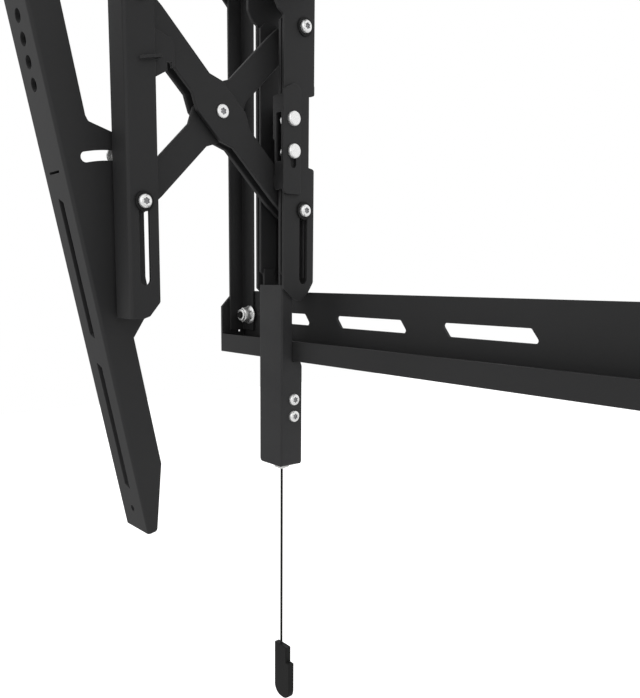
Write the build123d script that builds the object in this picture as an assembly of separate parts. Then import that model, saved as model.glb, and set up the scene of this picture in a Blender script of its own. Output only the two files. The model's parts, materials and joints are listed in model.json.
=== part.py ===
from build123d import *
import math
import os

# Pull-out tilting wall bracket for a television: a wall plate of two rails and two posts, and two arms that
# hang on it. Each arm is a scissor between a wall channel and a front channel that carries a tilting bracket.
# Frame: X along the rails, +Y into the wall, +Z up. The origin is the middle of the wall plate's back face.
# The left arm is modelled, and the right arm is its mirror image.

# Wall plate
plate_width = 650.0
plate_height = 325.0
rail_sheet = 2.0
rail_web_height = 51.0
rail_depth = 24.0
bottom_lip_height = 15.0
top_lip_height = 12.0
rail_bend_radius = 0.8
end_plate_chamfer = 13.0
slot_length = 65.5
slot_height = 8.7
slot_slant = 6.8
slot_corner_radius = 1.8
slot_pitch = 100.0
first_slot_inset = 55.7
first_slot_start = 36.0
slot_above_edge = 30.0
marker_hole_diameter = 4.0
marker_hole_inset = 25.5
relief_hole_diameter = 2.4
post_sheet = 2.0
post_width = 16.0
post_depth = 15.0
post_inset = 0.5
post_end_gap = 18.0
post_bend_radius = 3.0
stud_diameter = 6.0
stud_length = 15.0
stud_head_diameter = 8.0
stud_inset = 13.6
stud_above_edge = 31.0
nut_flats = 11.0
nut_flange_diameter = 15.4
nut_height = 9.4
nut_flange_height = 1.4
nut_collar_height = 2.0

# Arm
arm_inset = 82.0
arm_slide_out = 40.0
arm_slide_in = 120.0
channel_sheet = 2.2
bend_radius = 2.2
wall_channel_width = 34.0
inner_channel_width = 26.0
front_channel_width = 22.4
channel_wall_gap = 5.0
wall_channel_front = -34.3
ear_front = -42.4
hook_rise = 24.0
hook_clearance = 0.5
hook_seat_gap = 0.3
notch_depth = 6.2

# Scissor
link_length = 181.0
rest_angle = 45.0
fold_angle = 76.7
link_width = 19.5
link_sheet = 3.0
link_end_radius = 8.2
link_taper_start = 74.0
hub_height = 30.0
hub_flat = 26.0
hub_taper_end = 23.5
link_pitch = 10.2
pivot_y = -15.8
pivot_height = 239.1
pivot_diameter = 6.0
slide_pin_diameter = 7.4
slide_clearance = 0.1
running_clearance = 0.05
face_clearance = 0.3
slot_end_play = 0.8
slot_low_play = 1.6
pin_head_diameter = 9.0
pin_head_height = 2.6
pin_socket = 3.6
socket_floor = 0.45
pin_washer_diameter = 13.0
pin_washer_height = 1.0
spacer_diameter = 11.0
centre_rivet_diameter = 8.0
centre_head_diameter = 9.4
centre_head_height = 1.3
centre_washer_diameter = 18.0

# Front channel
front_ahead = 11.1
front_behind = 10.5
front_end_chamfer = 9.0
notch_top_drop = 46.4
striker_bottom_drop = 51.3
striker_top_drop = 25.1
striker_notch_drop = 39.1
striker_reach = 15.2
striker_rise = 9.8
striker_sheet = 2.0
striker_notch_width = 3.4
ledge_drop = 41.8
ledge_length = 15.3
ledge_width = 3.4
ledge_sheet = 1.8

# Tilting bracket
tilt_angle = 11.8
tilt_range = 13.6
tilt_sheet = 2.5
tilt_gap = 3.4
tilt_face_width = 35.5
tilt_flange_depth = 21.7
tilt_above = 345.0
tilt_below = 167.6
tilt_ear_depth = 40.0
tilt_bolt_y = -148.0
tilt_pivot_depth = 19.4
tilt_slot_width = 6.8
tilt_bolt_head_diameter = 13.0
tilt_bolt_head_height = 3.4
tilt_spacer_diameter = 9.6
tilt_collar_diameter = 8.0
tilt_collar_height = 2.0
tilt_hole_diameter = 8.6
tilt_hole_pitch = 13.5
tilt_hole_count = 14
tilt_holes_above = 10
tilt_hole_first = 183.3
tilt_slot_hole_width = 7.0
tilt_slot_hole_length = 96.0
tilt_end_hole_diameter = 5.0
tilt_slot_low = -22.9
tilt_slot_pitch = 112.7
tilt_mark_above = 88.9
tilt_mark_width = 16.0
tilt_mark_height = 1.6

# Catch for the folded arm
catch_bottom_drop = 116.9
catch_front_drop = 48.1
catch_upper_drop = 64.4
catch_lower_drop = 86.9
catch_window_bottom_drop = 94.1
catch_window_top_drop = 60.1
catch_sheet = 2.0
catch_front_width = 12.1
catch_front = -36.5
catch_side_depth = 16.0
catch_side_rise = 8.0
catch_bolt_y = -27.5
catch_bolt_diameter = 5.0
catch_head_diameter = 10.4
catch_head_height = 2.4
catch_nut_diameter = 7.4
catch_nut_height = 2.1
catch_travel = 8.0

# Latch on the bottom rail, with its cover and pull cord
cover_left = 13.3
cover_right = 14.7
cover_wall = 1.2
cover_front = -34.2
cover_overlap = 12.05
cover_rail_gap = 0.4
cover_shoulder = -0.6
cover_rear = -14.8
cover_bottom = -81.0
frame_sheet = 2.0
frame_front = -32.6
frame_floor = -66.0
frame_strap_lap = 15.0
frame_strap_rear = -22.4
screw_diameter = 4.0
screw_head_diameter = 8.8
screw_head_height = 2.4
screw_socket = 3.2
screw_y = -22.6
screw_upper = -29.4
screw_pitch = 12.9
latch_x = 2.0
latch_width = 13.0
latch_plate = 3.0
latch_top = -10.0
latch_tooth_top = 8.0
latch_tooth_depth = 3.0
latch_tooth_rear = -16.9
latch_leg_bottom = -45.0
latch_front = -30.2
latch_slot_play = 0.8
spring_diameter = 8.0
spring_wire = 1.1
spring_turns = 7
cord_y = -24.0
cord_diameter = 1.9
grommet_flange_diameter = 11.0
grommet_drop = 7.0
grommet_tip_diameter = 5.0
grommet_diameter = 7.0
grommet_bore = 2.6
tab_top = -231.3
tab_height = 44.4
tab_width = 14.9
tab_left = 5.8
tab_thickness = 5.3
tab_grip_width = 19.0
tab_grip_drop = 12.7
tab_radius = 8.5
tab_socket = 8.0

# Values that follow from the driving dimensions
base = -plate_height / 2
left = -plate_width / 2 + arm_inset
drop = link_length * math.sin(math.radians(rest_angle))
extension = link_length * math.cos(math.radians(rest_angle))
folded_extension = link_length * math.cos(math.radians(fold_angle))
folded_drop = link_length * math.sin(math.radians(fold_angle))
pivot_z = base + pivot_height
slide_height = pivot_height - drop
slide_low_height = pivot_height - folded_drop
wall_channel_bottom = slide_low_height - 18.0
ear_bottom = pivot_height + 14.5
hook_top = plate_height + hook_rise
notch_bottom = slide_height + 31.0
notch_top = pivot_height - notch_top_drop
inner_channel_bottom = slide_low_height - 1.0
inner_channel_top = pivot_height + 6.9
front_bottom = slide_low_height - 26.5
front_top = pivot_height + 24.9
striker_bottom = pivot_height - striker_bottom_drop
striker_top = pivot_height - striker_top_drop
striker_notch_top = pivot_height - striker_notch_drop
ledge_height = pivot_height - ledge_drop
tilt_pivot_height = slide_low_height - 16.0
tilt_radius = slide_height + 30.9 - tilt_pivot_height
catch_bottom = pivot_height - catch_bottom_drop
catch_front_top = pivot_height - catch_front_drop
catch_upper_height = pivot_height - catch_upper_drop
catch_lower_height = pivot_height - catch_lower_drop
catch_window_bottom = pivot_height - catch_window_bottom_drop
catch_window_top = pivot_height - catch_window_top_drop
frame_tab_top = inner_channel_bottom + 7.0
cover_top = wall_channel_bottom + cover_overlap
frame_strap_low = cover_top - frame_strap_lap
slide_z = pivot_z - drop
front_y = pivot_y - extension
hub_y = pivot_y - extension / 2
hub_z = pivot_z - drop / 2
hub_z_folded = pivot_z - folded_drop / 2
channel_rear = -channel_wall_gap
wall_half = wall_channel_width / 2
inner_half = inner_channel_width / 2
inner_face = inner_half - channel_sheet
front_half = front_channel_width / 2
front_face = front_half - channel_sheet
outer_link_in = link_pitch / 2 - link_sheet / 2
outer_link_out = link_pitch / 2 + link_sheet / 2
tilt_pivot_z = base + tilt_pivot_height
cord_top_z = base + latch_leg_bottom + latch_plate
cord_end_z = base + tab_top - tab_socket


def box(x0, x1, y0, y1, z0, z1):
    """A box between two corners."""
    return Pos((x0 + x1) / 2, (y0 + y1) / 2, (z0 + z1) / 2) * Box(x1 - x0, y1 - y0, z1 - z0)


def side_sheet(points, x0, x1, rounded=(), radius=1.0):
    """An outline in Y and Z, extruded from x0 to x1, with the numbered corners rounded."""
    face = make_face(Polyline(*points, close=True))
    corners = [face.vertices().sort_by_distance(points[i])[0] for i in rounded]
    if corners:
        face = fillet(corners, radius)
    return extrude(Plane.YZ.offset(x0) * face, x1 - x0)


def front_sheet(points, y0, y1):
    """An outline in X and Z, extruded from y0 to y1."""
    face = make_face(Polyline(*points, close=True))
    return extrude(Plane.XZ.offset(-y0) * face, -(y1 - y0))


def rod(x0, x1, y, z, diameter):
    """A cylinder along X."""
    bar = Cylinder(diameter / 2, x1 - x0, align=(Align.CENTER, Align.CENTER, Align.MIN))
    return Pos(x0, y, z) * Rot(0, 90, 0) * bar


def ring(x0, x1, y, z, outer, bore):
    """A tube along X."""
    return rod(x0, x1, y, z, outer) - rod(x0 - 1, x1 + 1, y, z, bore)


def slot_cut(x0, x1, y, z0, z1, width):
    """A cutter for an upright slot with round ends whose centres are at z0 and z1."""
    middle = box(x0, x1, y - width / 2, y + width / 2, z0, z1)
    return middle + rod(x0, x1, y, z0, width) + rod(x0, x1, y, z1, width)


def pan_head(x, y, z, diameter, height, direction=1, socket=0.0):
    """A low domed head whose flat side lies at x, with a hexagon socket of the given width."""
    head = Cylinder(diameter / 2, height, align=(Align.CENTER, Align.CENTER, Align.MIN))
    head = fillet(head.edges().sort_by(Axis.Z)[-1], height * 0.55)
    if socket:
        recess = extrude(RegularPolygon(socket / 2, 6, major_radius=False), height)
        head -= Pos(0, 0, height * socket_floor) * recess
    return Pos(x, y, z) * Rot(0, 90 * direction, 0) * head


def build_rail(bottom):
    """One rail with its two end plates and its slots. The top rail is the bottom rail turned over."""
    lip = bottom_lip_height if bottom else top_lip_height
    half = plate_width / 2
    profile = [
        (0, 0),
        (-rail_depth, 0),
        (-rail_depth, lip),
        (-rail_depth + rail_sheet, lip),
        (-rail_depth + rail_sheet, rail_sheet),
        (-rail_sheet, rail_sheet),
        (-rail_sheet, rail_web_height),
        (0, rail_web_height),
    ]
    rail = side_sheet(profile, -half, half, (0, 1), rail_bend_radius)
    side = [
        (0, 0),
        (-rail_depth, 0),
        (-rail_depth, rail_web_height - end_plate_chamfer),
        (-rail_depth + end_plate_chamfer, rail_web_height),
        (0, rail_web_height),
    ]
    for x in (-half, half - rail_sheet):
        plate = side_sheet(side, x, x + rail_sheet, (0, 1), rail_bend_radius)
        plate -= rod(x - 1, x + rail_sheet + 1, -rail_depth / 4, rail_web_height / 3, relief_hole_diameter)
        rail += plate
    middle = slot_above_edge
    for side_sign in (-1, 1):
        for k in range(3):
            centre = -half + first_slot_inset + k * slot_pitch
            x0 = centre - slot_length / 2
            x1 = centre + slot_length / 2
            if k == 0:
                x0 = -half + first_slot_start + slot_slant / 2
            outline = [
                (side_sign * (x0 - slot_slant / 2), middle + slot_height / 2),
                (side_sign * (x1 - slot_slant / 2), middle + slot_height / 2),
                (side_sign * (x1 + slot_slant / 2), middle - slot_height / 2),
                (side_sign * (x0 + slot_slant / 2), middle - slot_height / 2),
            ]
            hole = front_sheet(outline, -rail_sheet - 1, 1)
            hole = fillet(hole.edges().filter_by(Axis.Y), slot_corner_radius)
            rail -= hole
        marker_x = side_sign * (half - marker_hole_inset)
        rail -= Pos(marker_x, 0, middle + 2.8) * Rot(90, 0, 0) * Cylinder(marker_hole_diameter / 2, 12)
        stud_x = side_sign * (half - stud_inset)
        rail -= Pos(stud_x, 0, stud_above_edge) * Rot(90, 0, 0) * Cylinder(stud_head_diameter / 2 + 0.05, 12)
        if bottom:
            first = left + latch_x - latch_width / 2 - arm_slide_out - latch_slot_play
            last = left + latch_x + latch_width / 2 + arm_slide_in + latch_slot_play
            xs = sorted((-side_sign * first, -side_sign * last))
            y1 = latch_tooth_rear + latch_slot_play
            y0 = latch_tooth_rear - latch_tooth_depth - latch_slot_play
            opening = box(xs[0], xs[1], y0, y1, -1, rail_sheet + 1)
            rail -= fillet(opening.edges().filter_by(Axis.Z), 1.5)
    if bottom:
        return Pos(0, 0, base) * rail
    return Pos(0, 0, -base) * mirror(rail, about=Plane.XY)


def build_post():
    """The left upright post, an angle with its long side along the rail."""
    x0 = -plate_width / 2 + rail_sheet + post_inset
    y1 = -rail_sheet
    profile = make_face(Polyline(
        (x0, y1),
        (x0 + post_width, y1),
        (x0 + post_width, y1 - post_sheet),
        (x0 + post_sheet, y1 - post_sheet),
        (x0 + post_sheet, y1 - post_depth),
        (x0, y1 - post_depth),
        close=True,
    ))
    corner = profile.vertices().sort_by_distance((x0, y1))[0]
    profile = fillet(corner, post_bend_radius)
    height = plate_height - 2 * post_end_gap
    post = Pos(0, 0, -height / 2) * extrude(profile, height)
    for sign in (-1, 1):
        z = sign * (plate_height / 2 - stud_above_edge)
        x = -plate_width / 2 + stud_inset
        post -= Pos(x, y1, z) * Rot(90, 0, 0) * Cylinder(stud_diameter / 2 + 0.1, 12)
    return post


def stud_places():
    """The four places where a post is bolted to a rail."""
    x = plate_width / 2 - stud_inset
    z = plate_height / 2 - stud_above_edge
    return [(-x, -z), (-x, z), (x, -z), (x, z)]


def build_stud():
    """A stud pressed into the rail from behind, pointing forward along -Y."""
    head = Cylinder(stud_head_diameter / 2, rail_sheet, align=(Align.CENTER, Align.CENTER, Align.MIN))
    shank = Cylinder(stud_diameter / 2, stud_length, align=(Align.CENTER, Align.CENTER, Align.MIN))
    shank = chamfer(shank.edges().sort_by(Axis.Z)[-1], 0.6)
    return Rot(90, 0, 0) * (head + shank)


def build_flange_nut():
    """A hexagon nut with a flange, its seat at the origin, pointing forward along -Y."""
    upright = (Align.CENTER, Align.CENTER, Align.MIN)
    flange = Cone(nut_flange_diameter / 2, nut_flats / 2, nut_flange_height, align=upright)
    hexagon = extrude(RegularPolygon(nut_flats / 2, 6, major_radius=False), nut_height - nut_collar_height)
    collar = Cylinder(nut_flats / 2 - 0.6, nut_height, align=(Align.CENTER, Align.CENTER, Align.MIN))
    collar = fillet(collar.edges().sort_by(Axis.Z)[-1], 1.2)
    nut = flange + hexagon + collar - Cylinder(stud_diameter / 2 + running_clearance, 40)
    return Rot(90, 0, 0) * nut


def slide_slot(x0, x1, y):
    """The cutter for the slots that the two slide pins run in."""
    low = base + slide_low_height - slot_low_play
    high = slide_z + slot_end_play
    return slot_cut(x0, x1, y, low, high, slide_pin_diameter + 2 * slide_clearance)


def catch_slot(x0, x1, z, down, up):
    """The cutter for a short slot of the catch bolts."""
    return slot_cut(x0, x1, catch_bolt_y, z - down, z + up, catch_bolt_diameter + 0.4)


def catch_relief():
    """The cutter that sets the two flanges back behind the catch's window."""
    return box(
        0, wall_half + 1, wall_channel_front - 1, wall_channel_front + 2.9,
        base + catch_window_bottom - 1, base + catch_window_top + 1,
    )


def fillet_edges_near(solid, points, radius):
    """Round the edges along X that pass nearest to the given points in Y and Z."""
    along = solid.edges().filter_by(Axis.X)
    chosen = [along.sort_by(lambda e: abs(e.center().Y - y) + abs(e.center().Z - z))[0] for y, z in points]
    return fillet(chosen, radius)


def build_wall_channel():
    """The outer wall channel: it hooks over the top rail and carries the scissor."""
    rear = channel_rear
    upper_rear = rear - 1.3
    notch = rear - notch_depth
    top_edge = base + plate_height
    lip_rear = -rail_depth + rail_sheet + hook_clearance
    lip_front = -rail_depth - hook_clearance
    lip_end = top_edge - top_lip_height
    outline = [
        (rear, base + wall_channel_bottom + 15.6),
        (rear - 6.2, base + wall_channel_bottom + 6.0),
        (-18.7, base + wall_channel_bottom),
        (-26.1, base + wall_channel_bottom + 2.4),
        (wall_channel_front, base + wall_channel_bottom + 9.5),
        (wall_channel_front, base + ear_bottom - 9.0),
        (wall_channel_front - 4.6, base + ear_bottom - 6.0),
        (ear_front, base + ear_bottom),
        (ear_front, base + hook_top - 8.0),
        (ear_front + 8.0, base + hook_top),
        (-14.0, base + hook_top),
        (-8.0, base + hook_top - 6.0),
        (-8.0, top_edge + hook_seat_gap),
        (lip_front, top_edge + hook_seat_gap),
        (lip_front, lip_end - 1.0),
        (lip_rear, lip_end - 1.0),
        (lip_rear, lip_end + 6.0),
        (-13.0, lip_end + 6.0),
        (upper_rear, lip_end),
        (upper_rear, base + notch_top + 7.5),
        (rear, base + notch_top + 6.2),
        (rear, base + notch_top - 0.6),
        (notch, base + notch_top),
        (notch, base + notch_bottom),
        (rear, base + notch_bottom - 1.2),
    ]
    section = make_face(Polyline(
        (-wall_half, rear),
        (wall_half, rear),
        (wall_half, ear_front),
        (wall_half - channel_sheet, ear_front),
        (wall_half - channel_sheet, rear - channel_sheet),
        (-wall_half + channel_sheet, rear - channel_sheet),
        (-wall_half + channel_sheet, ear_front),
        (-wall_half, ear_front),
        close=True,
    ))
    corners = [section.vertices().sort_by_distance((x, rear))[0] for x in (-wall_half, wall_half)]
    section = fillet(corners, bend_radius)
    tall = Pos(0, 0, base) * extrude(section, hook_top)
    plate = side_sheet(outline, -wall_half - 1, wall_half + 1, (2, 3, 6, 7, 8, 9, 10, 11), 3.0)
    channel = tall & fillet_edges_near(plate, [outline[21], outline[24]], 4.0)
    inside = wall_half - channel_sheet
    channel -= box(-inside, inside, rear - channel_sheet - 1, 1, base + notch_bottom - 5, base + hook_top + 1)
    channel += box(
        -inside, inside, upper_rear - channel_sheet, upper_rear, base + ear_bottom + 4, base + ear_bottom + 50
    )
    channel -= slide_slot(0, wall_half + 1, pivot_y)
    channel -= rod(-wall_half - 1, wall_half + 1, pivot_y, pivot_z, pivot_diameter + 2 * running_clearance)
    channel -= catch_relief()
    channel -= catch_slot(inner_half, wall_half + 1, base + catch_upper_height, 0, catch_travel)
    channel -= rod(
        inner_half, wall_half + 1, catch_bolt_y, base + catch_lower_height,
        catch_bolt_diameter + 2 * running_clearance,
    )
    return channel


def build_inner_channel():
    """The inner channel, nested in the outer one as its reinforcement."""
    rear = channel_rear - channel_sheet - face_clearance - 0.5
    notch = channel_rear - notch_depth - face_clearance
    z0 = base + inner_channel_bottom
    z1 = base + inner_channel_top
    outline = [
        (rear, z0 + 4.0),
        (rear - 4.0, z0),
        (wall_channel_front + 5.0, z0),
        (wall_channel_front, z0 + 5.0),
        (wall_channel_front, z1 - 4.0),
        (wall_channel_front + 4.0, z1),
        (rear, z1),
        (rear, base + notch_top + 4.0),
        (notch, base + notch_top),
        (notch, base + notch_bottom),
        (rear, base + notch_bottom - 3.5),
    ]
    channel = side_sheet(outline, -inner_half, -inner_face) + side_sheet(outline, inner_face, inner_half)
    web_top = base + notch_top - 4.0
    channel += box(-inner_face, inner_face, notch - channel_sheet, notch, slide_z + 11.0, web_top)
    channel -= slide_slot(-inner_half - 1, inner_half + 1, pivot_y)
    channel -= rod(-inner_half - 1, inner_half + 1, pivot_y, pivot_z, pivot_diameter + 2 * running_clearance)
    channel -= catch_relief()
    channel -= catch_slot(0, inner_half + 1, base + catch_upper_height, 0, catch_travel)
    channel -= rod(
        inner_face - 1, inner_half + 1, catch_bolt_y, base + catch_lower_height,
        catch_bolt_diameter + 2 * running_clearance,
    )
    return channel


def through_pin(x_head, x_tail, y, z, diameter, tail_height):
    """A pin along X with a domed head over its washer at x_head and a low tail at x_tail."""
    head_x = x_head + pin_washer_height
    pin = rod(x_tail, head_x, y, z, diameter)
    pin += pan_head(head_x, y, z, pin_head_diameter, pin_head_height, 1, pin_socket)
    if tail_height:
        pin += pan_head(x_tail, y, z, pin_head_diameter, tail_height, -1)
    return pin


def head_washer(x, y, z, diameter):
    """The washer under a pin's head, its seat at x."""
    return ring(x, x + pin_washer_height, y, z, pin_washer_diameter, diameter + 2 * running_clearance)


def link_outline():
    """The outline of a link around its hub, with its long side level."""
    half = link_length / 2
    wide = link_width / 2
    end = link_end_radius
    side = [
        (-half, end),
        (-link_taper_start, wide),
        (-hub_taper_end, wide),
        (-hub_flat / 2, hub_height / 2),
        (hub_flat / 2, hub_height / 2),
        (hub_taper_end, wide),
        (link_taper_start, wide),
        (half, end),
    ]
    other = [(-a, -b) for a, b in side]
    face = make_face(Polyline(*side, *other, close=True))
    face += Pos(-half, 0) * Circle(end)
    face += Pos(half, 0) * Circle(end)
    return face


def build_link_plate(x_middle, direction, wall_hole, front_hole, hub_hole):
    """One link plate with its holes. It rises to the front for direction 1 and to the rear for -1."""
    plate = extrude(link_outline(), link_sheet / 2, both=True)
    plate = chamfer(plate.edges().group_by(Axis.Z)[-1], 0.4)
    solid = Pos(x_middle, hub_y, hub_z) * (Plane.YZ * (Rot(0, 0, -direction * rest_angle) * plate))
    wall_z = hub_z - direction * drop / 2
    front_z = hub_z + direction * drop / 2
    solid -= rod(x_middle - 5, x_middle + 5, pivot_y, wall_z, wall_hole)
    solid -= rod(x_middle - 5, x_middle + 5, front_y, front_z, front_hole)
    solid -= rod(x_middle - 5, x_middle + 5, hub_y, hub_z, hub_hole)
    return solid


def ring_pair(inner, outer, y, z, diameter, bore):
    """Two equal spacer rings, one on each side of the arm's middle."""
    return [ring(inner, outer, y, z, diameter, bore), ring(-outer, -inner, y, z, diameter, bore)]


def build_front_channel():
    """The front channel with its striker ear and ledge for the catch."""
    front = front_y - front_ahead
    rear = front_y + front_behind
    z0 = base + front_bottom
    z1 = base + front_top
    outline = [
        (rear, z0 + 10.0),
        (rear - 7.8, z0 + 1.0),
        (rear - 12.0, z0 - 0.4),
        (front, z0 - 0.4),
        (front, z1),
        (rear - front_end_chamfer, z1),
        (rear, z1 - front_end_chamfer),
    ]
    section = make_face(Polyline(
        (-front_half, front),
        (front_half, front),
        (front_half, rear),
        (front_face, rear),
        (front_face, front + channel_sheet),
        (-front_face, front + channel_sheet),
        (-front_face, rear),
        (-front_half, rear),
        close=True,
    ))
    corners = [section.vertices().sort_by_distance((x, front))[0] for x in (-front_half, front_half)]
    section = fillet(corners, bend_radius)
    channel = Pos(0, 0, z0 - 1) * extrude(section, front_top - front_bottom + 2)
    channel &= side_sheet(outline, -front_half - 1, front_half + 1, (0, 1, 6), 2.6)
    tip = rear + striker_reach
    rise = striker_rise
    ear = [
        (rear - 9.0, base + striker_bottom),
        (rear - 1.4, base + striker_bottom),
        (tip, base + striker_bottom + rise),
        (tip, base + striker_top),
        (rear, base + striker_top + 5.0),
        (rear - 9.0, base + striker_top + 5.0),
    ]
    striker = side_sheet(ear, front_face - striker_sheet, front_face, (3,), 2.0)
    notch_y = catch_front + catch_sheet / 2 - (extension - folded_extension)
    striker -= box(
        0, front_half, notch_y - striker_notch_width / 2, notch_y + striker_notch_width / 2,
        base + striker_bottom - 1, base + striker_notch_top,
    )
    channel += striker
    ledge = box(front_face, front_half + ledge_width, 0, ledge_length, 0, ledge_sheet)
    ledge = chamfer(ledge.edges().filter_by(Axis.Z).group_by(Axis.X)[-1].sort_by(Axis.Y)[0], 2.2)
    channel += Pos(0, rear + 3.6 - ledge_length, base + ledge_height) * Rot(12, 0, 0) * ledge
    channel -= slide_slot(-front_half - 1, front_half + 1, front_y)
    channel -= rod(-front_half - 1, front_half + 1, front_y, pivot_z, pivot_diameter + 2 * running_clearance)
    for z in (tilt_pivot_z, tilt_pivot_z + tilt_radius):
        channel -= rod(-front_half - 1, 0, tilt_bolt_y, z, pivot_diameter + 2 * running_clearance)
    return channel


def build_tilt_bolt(z):
    """A shouldered bolt through the front channel's side, carrying the tilting bracket."""
    x_head = -front_half - tilt_gap - tilt_sheet - face_clearance
    bolt = rod(x_head, -front_face, tilt_bolt_y, z, pivot_diameter)
    bolt += pan_head(x_head, tilt_bolt_y, z, tilt_bolt_head_diameter, tilt_bolt_head_height, -1)
    bolt += rod(-front_face, -front_face + tilt_collar_height, tilt_bolt_y, z, tilt_collar_diameter)
    return bolt


def build_tilt_bracket():
    """The tilting bracket, drawn upright about its pivot and then leaned forward by the tilt angle."""
    x1 = -front_half - tilt_gap
    x0 = x1 - tilt_face_width
    front = -tilt_pivot_depth
    depth = front + tilt_flange_depth
    ear = front + tilt_ear_depth
    outline = [
        (front, tilt_above),
        (front + 7.2, tilt_above),
        (depth, tilt_above - 48.0),
        (depth, tilt_radius + 24.9),
        (depth + 1.2, tilt_radius + 21.3),
        (depth + 15.7, tilt_radius + 13.4),
        (ear, tilt_radius + 11.5),
        (ear, -8.1),
        (depth, -26.4),
        (depth, -tilt_below + 47.6),
        (front + 7.2, -tilt_below),
        (front, -tilt_below),
    ]
    flange = side_sheet(outline, x0, x1, (1, 4, 5, 10), 2.5)
    plain = [point for point in outline if point[0] <= depth]
    side_cut = side_sheet(plain, x0 - 2, x0 + tilt_sheet + 1)
    keep = make_face(Polyline(
        (x0, front),
        (x1, front),
        (x1, ear + 1),
        (x1 - tilt_sheet, ear + 1),
        (x1 - tilt_sheet, front + tilt_sheet),
        (x0 + tilt_sheet, front + tilt_sheet),
        (x0 + tilt_sheet, ear + 1),
        (x0, ear + 1),
        close=True,
    ))
    keep = fillet([keep.vertices().sort_by_distance((x, front))[0] for x in (x0, x1)], bend_radius)
    bar = Pos(0, 0, -tilt_below) * extrude(keep, tilt_above + tilt_below)
    deep_side = box(x0 - 1, x0 + tilt_sheet + 0.01, front - 1, ear + 2, -tilt_below - 1, tilt_above + 1)
    bracket = (bar & flange) - (deep_side - side_cut)
    middle = x1 - tilt_face_width / 2
    for k in range(tilt_hole_count):
        z = tilt_hole_first - tilt_hole_pitch * (k - tilt_holes_above)
        bracket -= tilt_face_hole(middle, z, tilt_hole_diameter)
    bracket -= tilt_face_hole(middle, -tilt_below + 16.5, tilt_end_hole_diameter)
    bracket -= box(
        middle - tilt_mark_width / 2, middle + tilt_mark_width / 2, front - 1, front + tilt_sheet + 1,
        tilt_mark_above - tilt_mark_height / 2, tilt_mark_above + tilt_mark_height / 2,
    )
    for low in (tilt_slot_low, tilt_slot_low - tilt_slot_pitch):
        top = low + tilt_slot_hole_length
        half = tilt_slot_hole_width / 2
        outline = [
            (middle - half, top),
            (middle + half, top - 3.5),
            (middle + half, low),
            (middle - half, low + 3.5),
        ]
        hole = front_sheet(outline, front - 1, front + tilt_sheet + 1)
        bracket -= fillet(hole.edges().filter_by(Axis.Y), 1.0)
    bracket -= rod(x1 - 10, x1 + 1, 0, 0, pivot_diameter + 2 * running_clearance)
    # The arc slot for the upper tilt bolt, from upright to fully leaned forward.
    first = math.radians(90 - tilt_angle - 0.4)
    last = math.radians(90 - tilt_angle + tilt_range + 0.4)
    r_in = tilt_radius - tilt_slot_width / 2
    r_out = tilt_radius + tilt_slot_width / 2
    steps = 8
    turns = [first + (last - first) * k / steps for k in range(steps + 1)]
    points = [(r_out * math.cos(t), r_out * math.sin(t)) for t in turns]
    points += [(r_in * math.cos(t), r_in * math.sin(t)) for t in reversed(turns)]
    arc = side_sheet(points, x1 - 10, x1 + 1)
    for t in (first, last):
        arc += rod(x1 - 10, x1 + 1, tilt_radius * math.cos(t), tilt_radius * math.sin(t), tilt_slot_width)
    bracket -= arc
    return Pos(0, tilt_bolt_y, tilt_pivot_z) * Rot(tilt_angle, 0, 0) * bracket


def tilt_face_hole(x, z, diameter):
    """A cutter through the face of the tilting bracket."""
    return Pos(x, -tilt_pivot_depth, z) * Rot(90, 0, 0) * Cylinder(diameter / 2, 12)


def build_catch_plate():
    """The catch: an angle that slides up to hold the folded arm."""
    x0 = wall_half + face_clearance
    x1 = x0 + catch_sheet
    rear = catch_front + catch_side_depth
    side = [
        (catch_front, base + catch_bottom),
        (rear, base + catch_bottom),
        (rear, base + catch_front_top + catch_side_rise - 2.0),
        (rear - 6.5, base + catch_front_top + catch_side_rise),
        (catch_front, base + catch_front_top + 3.0),
    ]
    plate = side_sheet(side, x0, x1, (0, 2), 4.0)
    inner = x1 - catch_front_width
    hub_low = hub_z_folded - centre_head_diameter / 2 - 4.0 - catch_travel
    hub_high = hub_z_folded + centre_head_diameter / 2 + 6.0
    front = [
        (inner, base + catch_bottom + 7.0),
        (inner + 3.0, base + catch_bottom + 3.0),
        (x1 - 1.0, base + catch_bottom + 4.0),
        (x1 - 1.0, base + catch_front_top),
        (inner, base + catch_front_top),
        (inner, hub_high),
        (inner + 1.7, hub_high - 1.7),
        (inner + 1.7, hub_low + 1.7),
        (inner, hub_low),
    ]
    plate += front_sheet(front, catch_front, catch_front + catch_sheet)
    plate -= box(
        inner + 3.4, x0 - 0.6, catch_front - 1, catch_front + catch_sheet + 1,
        base + catch_window_bottom, base + catch_window_top,
    )
    plate -= catch_slot(x0 - 1, x1 + 1, base + catch_lower_height, catch_travel + 1.0, 0)
    upper = base + catch_upper_height
    plate -= rod(x0 - 1, x1 + 1, catch_bolt_y, upper, catch_bolt_diameter + 2 * running_clearance)
    return plate


def build_catch_bolt(z, seat, tail):
    """A flat-headed bolt of the catch, its head's seat and its nut's end given in X."""
    bolt = rod(tail, seat, catch_bolt_y, z, catch_bolt_diameter)
    bolt += pan_head(seat, catch_bolt_y, z, catch_head_diameter, catch_head_height)
    return bolt


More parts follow.
